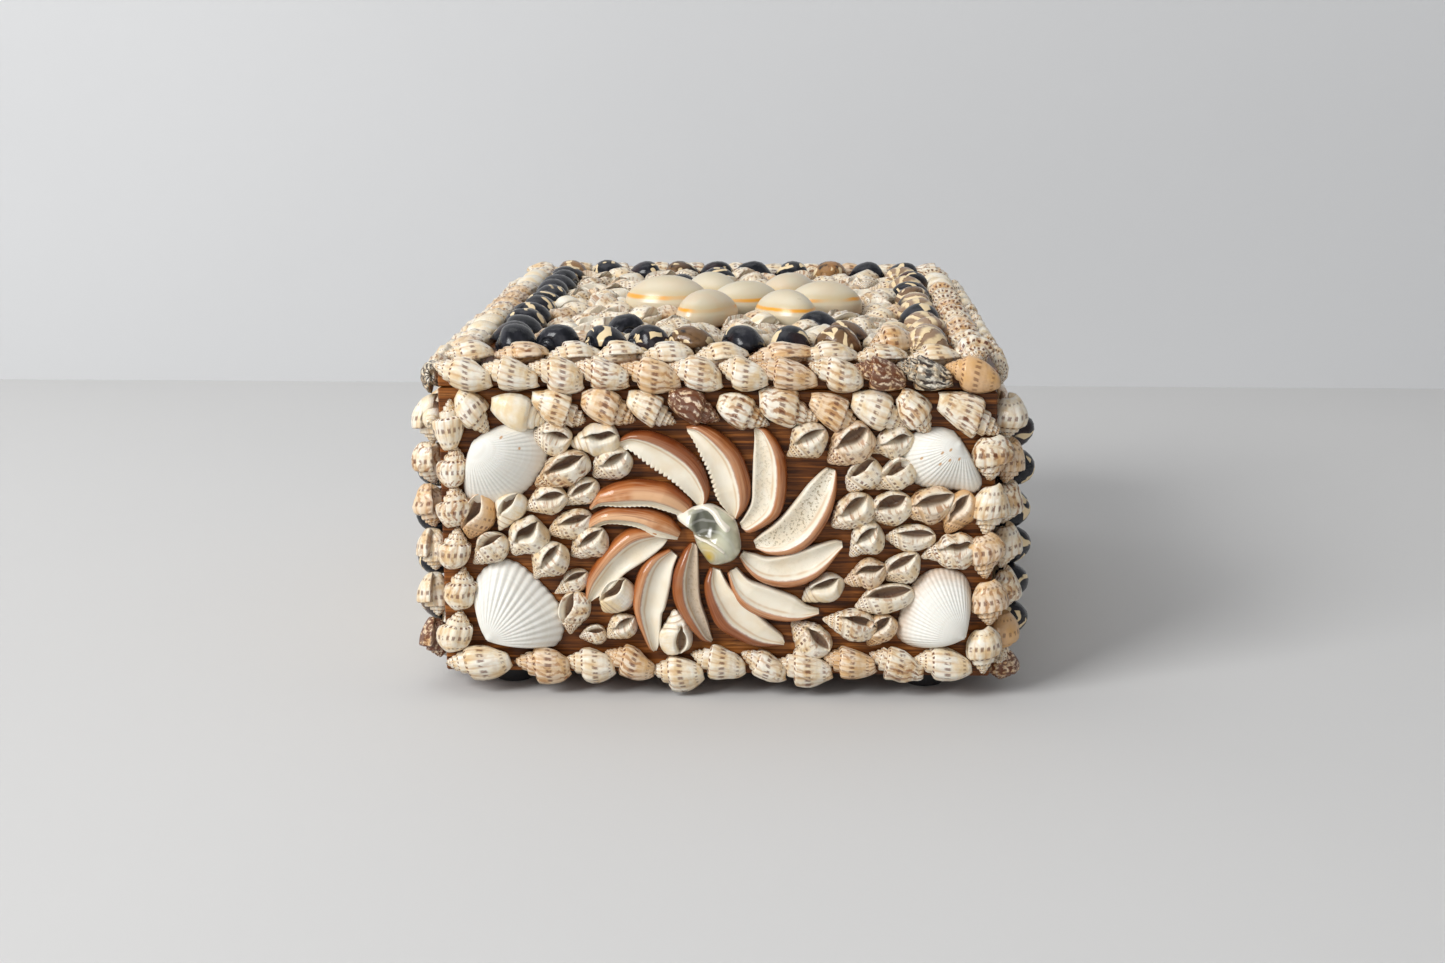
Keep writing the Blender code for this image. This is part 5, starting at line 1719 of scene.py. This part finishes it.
class SHELLBOX_OT_pinwheel(bpy.types.Operator):
    """Model the pinwheel of cut cowrie lips and the thin shell on its hub"""

    bl_idname = "shell_box.pinwheel"
    bl_label = "Pinwheel"

    def execute(self, context):
        height = context.scene.shell_box.sizes.lip / MM
        for seed, (letter, (side, cut, teeth, dark, pits, rim)) in enumerate(LIPS.items()):
            cluster = Cluster(81 + seed)
            form = self.lip(side, cut, teeth, rim, height)
            # Painted shade over the face of lip h
            grey = 0.6 if letter == "h" else 0.0
            cluster.add(form, face_matrix("front"), (grey, dark, pits))
            node = "pinwheel_lip_" + letter
            turn_outwards(cluster.finish("lip_" + letter, "salmon_lip", node))
        self.hub()
        return {"FINISHED"}

    def lip(self, side, cut, teeth, rim, height):
        """Sections laid from the tip to the inner end, between the two edges."""
        shares = np.linspace(0.0, 1.0, TOOTHED_STEPS if teeth else LIP_STEPS)
        outer = resample([on_front(x, y, 3.2) for x, y in side], shares)
        inner = resample([on_front(x, y, 3.2) for x, y in cut], shares)
        rows, grain = [], []
        for i, share in enumerate(shares):
            ends = min(1.0, math.sin(math.pi * (0.04 + 0.92 * share)) ** 0.45 * 1.1)
            across = inner[i] - outer[i]
            tooth = teeth * (1.0 - abs(math.sin(share * TEETH * math.pi)))
            tooth *= min(1.0, 2.2 - 2.2 * share)
            row = []
            for at, rise in LIP_SECTION:
                reach = at / 0.3 * rim if at < 0.3 else rim + (at - 0.3) / 0.7 * (1.0 - rim)
                cut_back = tooth if at > TOOTHED else 0.0
                reach -= 0.055 * cut_back
                rise = max(0.04, rise - 0.08 * cut_back)
                place = outer[i] + across * (0.5 + (reach - 0.5) * (0.55 + 0.45 * ends))
                row.append((*place, 0.2 + (height - 0.2) * rise * ends))
            rows.append(row)
            grain.append([(share, at, 0.0) for at, _ in LIP_SECTION])
        return grid_form(rows, grain)

    def hub(self):
        """Rings of points from the broken edge of the thin shell to its middle, then its back."""
        edge = [on_front(x, y, 4.0) for x, y in (*HUB_EDGE, HUB_EDGE[0])]
        edge = resample(edge, np.linspace(0.0, 1.0, HUB_POINTS, endpoint=False))
        centre = np.array(on_front(717, 538, 4.0)[:2])
        hollow, gold, olive = [np.array(on_front(*at, 6.0)[:2]) for at in HUB_SPOTS]
        rows, grain, mask = [], [], []
        for reach in np.linspace(1.0, 0.02, HUB_RINGS):
            flat = centre + (edge - centre) * reach
            # Painted shadow over the hollow, which is also sunk
            dark = np.exp(-((((flat - hollow) / (3.5, 4.2)) ** 2).sum(1)) ** 1.6)
            yellow = np.exp(-(((flat - gold) / 1.5) ** 2).sum(1))
            yellow = yellow + 0.5 * np.exp(-(((flat - olive) / (3.0, 2.0)) ** 2).sum(1))
            white = np.full(HUB_POINTS, 1.0 if reach > 0.965 else 0.0)
            ridge = np.zeros(HUB_POINTS)
            for line, width in HUB_LINES:
                near = self.distance(flat, [on_front(x, y, 6.0)[:2] for x, y in line])
                white = np.maximum(white, np.clip(1.6 - near / width, 0.0, 1.0))
                ridge += 0.6 * np.exp(-((near / width) ** 2))
            left = np.clip((centre[0] - 6.2 - flat[:, 0]) / 4.0, 0.0, 1.0)
            white = np.maximum(white, np.clip(left * 1.8, 0.0, 1.0))
            rise = 2.2 + 5.6 * (1.0 - reach**3.2) ** 0.6 * (1.0 - 0.6 * left) - 2.8 * dark + ridge
            rows.append(np.column_stack([flat, rise]))
            away = np.linalg.norm(flat - gold, axis=1)
            grain.append(np.column_stack([away, np.full_like(away, reach), 0.0 * away]))
            mask.append(np.column_stack([dark, yellow, white]))
        for reach, rise in ((0.4, 0.3), (0.9, 0.3), (0.985, 1.5)):
            flat = centre + (edge - centre) * reach
            rows.append(np.column_stack([flat, np.full(HUB_POINTS, rise)]))
            grain.append(grain[0])
            mask.append(mask[0])
        rows, grain, mask = [layer[-3:] + layer[:-3] for layer in (rows, grain, mask)]
        cluster = Cluster(95)
        cluster.add(grid_form(rows, grain, mask), face_matrix("front"))
        turn_outwards(cluster.finish("hub_shell", "green_shell", "pinwheel_hub"))

    def distance(self, points, line):
        """How far each point is from a line of segments."""
        best = np.full(len(points), 1e9)
        for a, b in zip(line, line[1:]):
            a, b = np.array(a), np.array(b)
            share = np.clip((points - a) @ (b - a) / ((b - a) @ (b - a)), 0.0, 1.0)
            best = np.minimum(best, np.linalg.norm(points - a - share[:, None] * (b - a), axis=1))
        return best


# The stage in metres: how large the floor and the wall are, how far back the wall is, and
# what the lights are aimed at
STAGE_SIZE = 6.0
WALL = 0.36
AIM = (0.0, 0.0, 0.05)
# Each soft light's place, its width and its power
LIGHTS = (
    ("key", (-1.1, -1.05, 1.0), 0.8, 28.5),
    ("fill", (0.1, -1.7, 0.6), 1.2, 3.6),
    ("rim", (-0.3, 0.2, 1.3), 0.8, 2.5),
)


class SHELLBOX_OT_stage(bpy.types.Operator):
    """Set the floor, the backdrop, the soft lights and the camera"""

    bl_idname = "shell_box.stage"
    bl_label = "Stage"

    def execute(self, context):
        shades = Shades(context.scene.shell_box.colours)
        deselect()
        bpy.ops.mesh.primitive_plane_add(size=STAGE_SIZE, location=(0.0, 0.0, 0.0))
        floor = context_object("floor")
        floor.data.materials.append(stage_material("floor_pale", shades.floor, 0.8))
        deselect()
        bpy.ops.mesh.primitive_plane_add(
            size=STAGE_SIZE, location=(0.0, WALL, 0.0), rotation=(math.radians(90), 0.0, 0.0)
        )
        wall = context_object("backdrop")
        wall.data.materials.append(stage_material("backdrop_pale", shades.wall, 0.9, True))
        context.scene.view_settings.view_transform = "Standard"
        for light in LIGHTS:
            self.light(*light)
        world = bpy.data.worlds.new("studio")
        world.use_nodes = True
        sky = world.node_tree.nodes["Background"]
        sky.inputs["Color"].default_value = (0.93, 0.95, 1.0, 1.0)
        sky.inputs["Strength"].default_value = 0.3
        context.scene.world = world
        camera = bpy.data.cameras.new("camera")
        camera.lens = LENS
        camera.sensor_width = SENSOR
        camera.clip_start = 0.01
        obj = bpy.data.objects.new("camera", camera)
        obj.location = [value * MM for value in EYE]
        obj.rotation_euler = (math.radians(TILT), 0.0, math.radians(TURN))
        context.scene.collection.objects.link(obj)
        context.scene.camera = obj
        return {"FINISHED"}

    def light(self, name, place, width, power):
        data = bpy.data.lights.new(name, "AREA")
        data.size = width
        data.energy = power
        obj = bpy.data.objects.new(name, data)
        obj.location = place
        aim = Vector(AIM) - Vector(place)
        obj.rotation_euler = aim.to_track_quat("-Z", "Y").to_euler()
        bpy.context.scene.collection.objects.link(obj)


STEPS = (
    SHELLBOX_OT_wood,
    SHELLBOX_OT_feet,
    SHELLBOX_OT_front_rows,
    SHELLBOX_OT_corners,
    SHELLBOX_OT_side_rows,
    SHELLBOX_OT_lid_edges,
    SHELLBOX_OT_nerites,
    SHELLBOX_OT_fills,
    SHELLBOX_OT_flower,
    SHELLBOX_OT_cockles,
    SHELLBOX_OT_pinwheel,
    SHELLBOX_OT_stage,
)


class SHELLBOX_PT_panel(bpy.types.Panel):
    """The shell box's pieces, in the order they are made"""

    bl_idname = "SHELLBOX_PT_panel"
    bl_label = "Shell Box"
    bl_space_type = "VIEW_3D"
    bl_region_type = "UI"
    bl_category = "Shell Box"

    def draw(self, context):
        for step in STEPS:
            self.layout.operator(step.bl_idname)
        look = context.scene.shell_box
        for group in (look.sizes, look.colours):
            for name in group.bl_rna.properties.keys()[2:]:
                self.layout.prop(group, name)


CLASSES = (ShellBoxColours, ShellBoxSizes, ShellBoxLook, *STEPS, SHELLBOX_PT_panel)


def register():
    for cls in CLASSES:
        bpy.utils.register_class(cls)
    bpy.types.Scene.shell_box = bpy.props.PointerProperty(type=ShellBoxLook)


def unregister():
    del bpy.types.Scene.shell_box
    for cls in reversed(CLASSES):
        bpy.utils.unregister_class(cls)


def main():
    register()
    for step in STEPS:
        group, name = step.bl_idname.split(".")
        getattr(getattr(bpy.ops, group), name)()


if __name__ == "__main__":
    main()
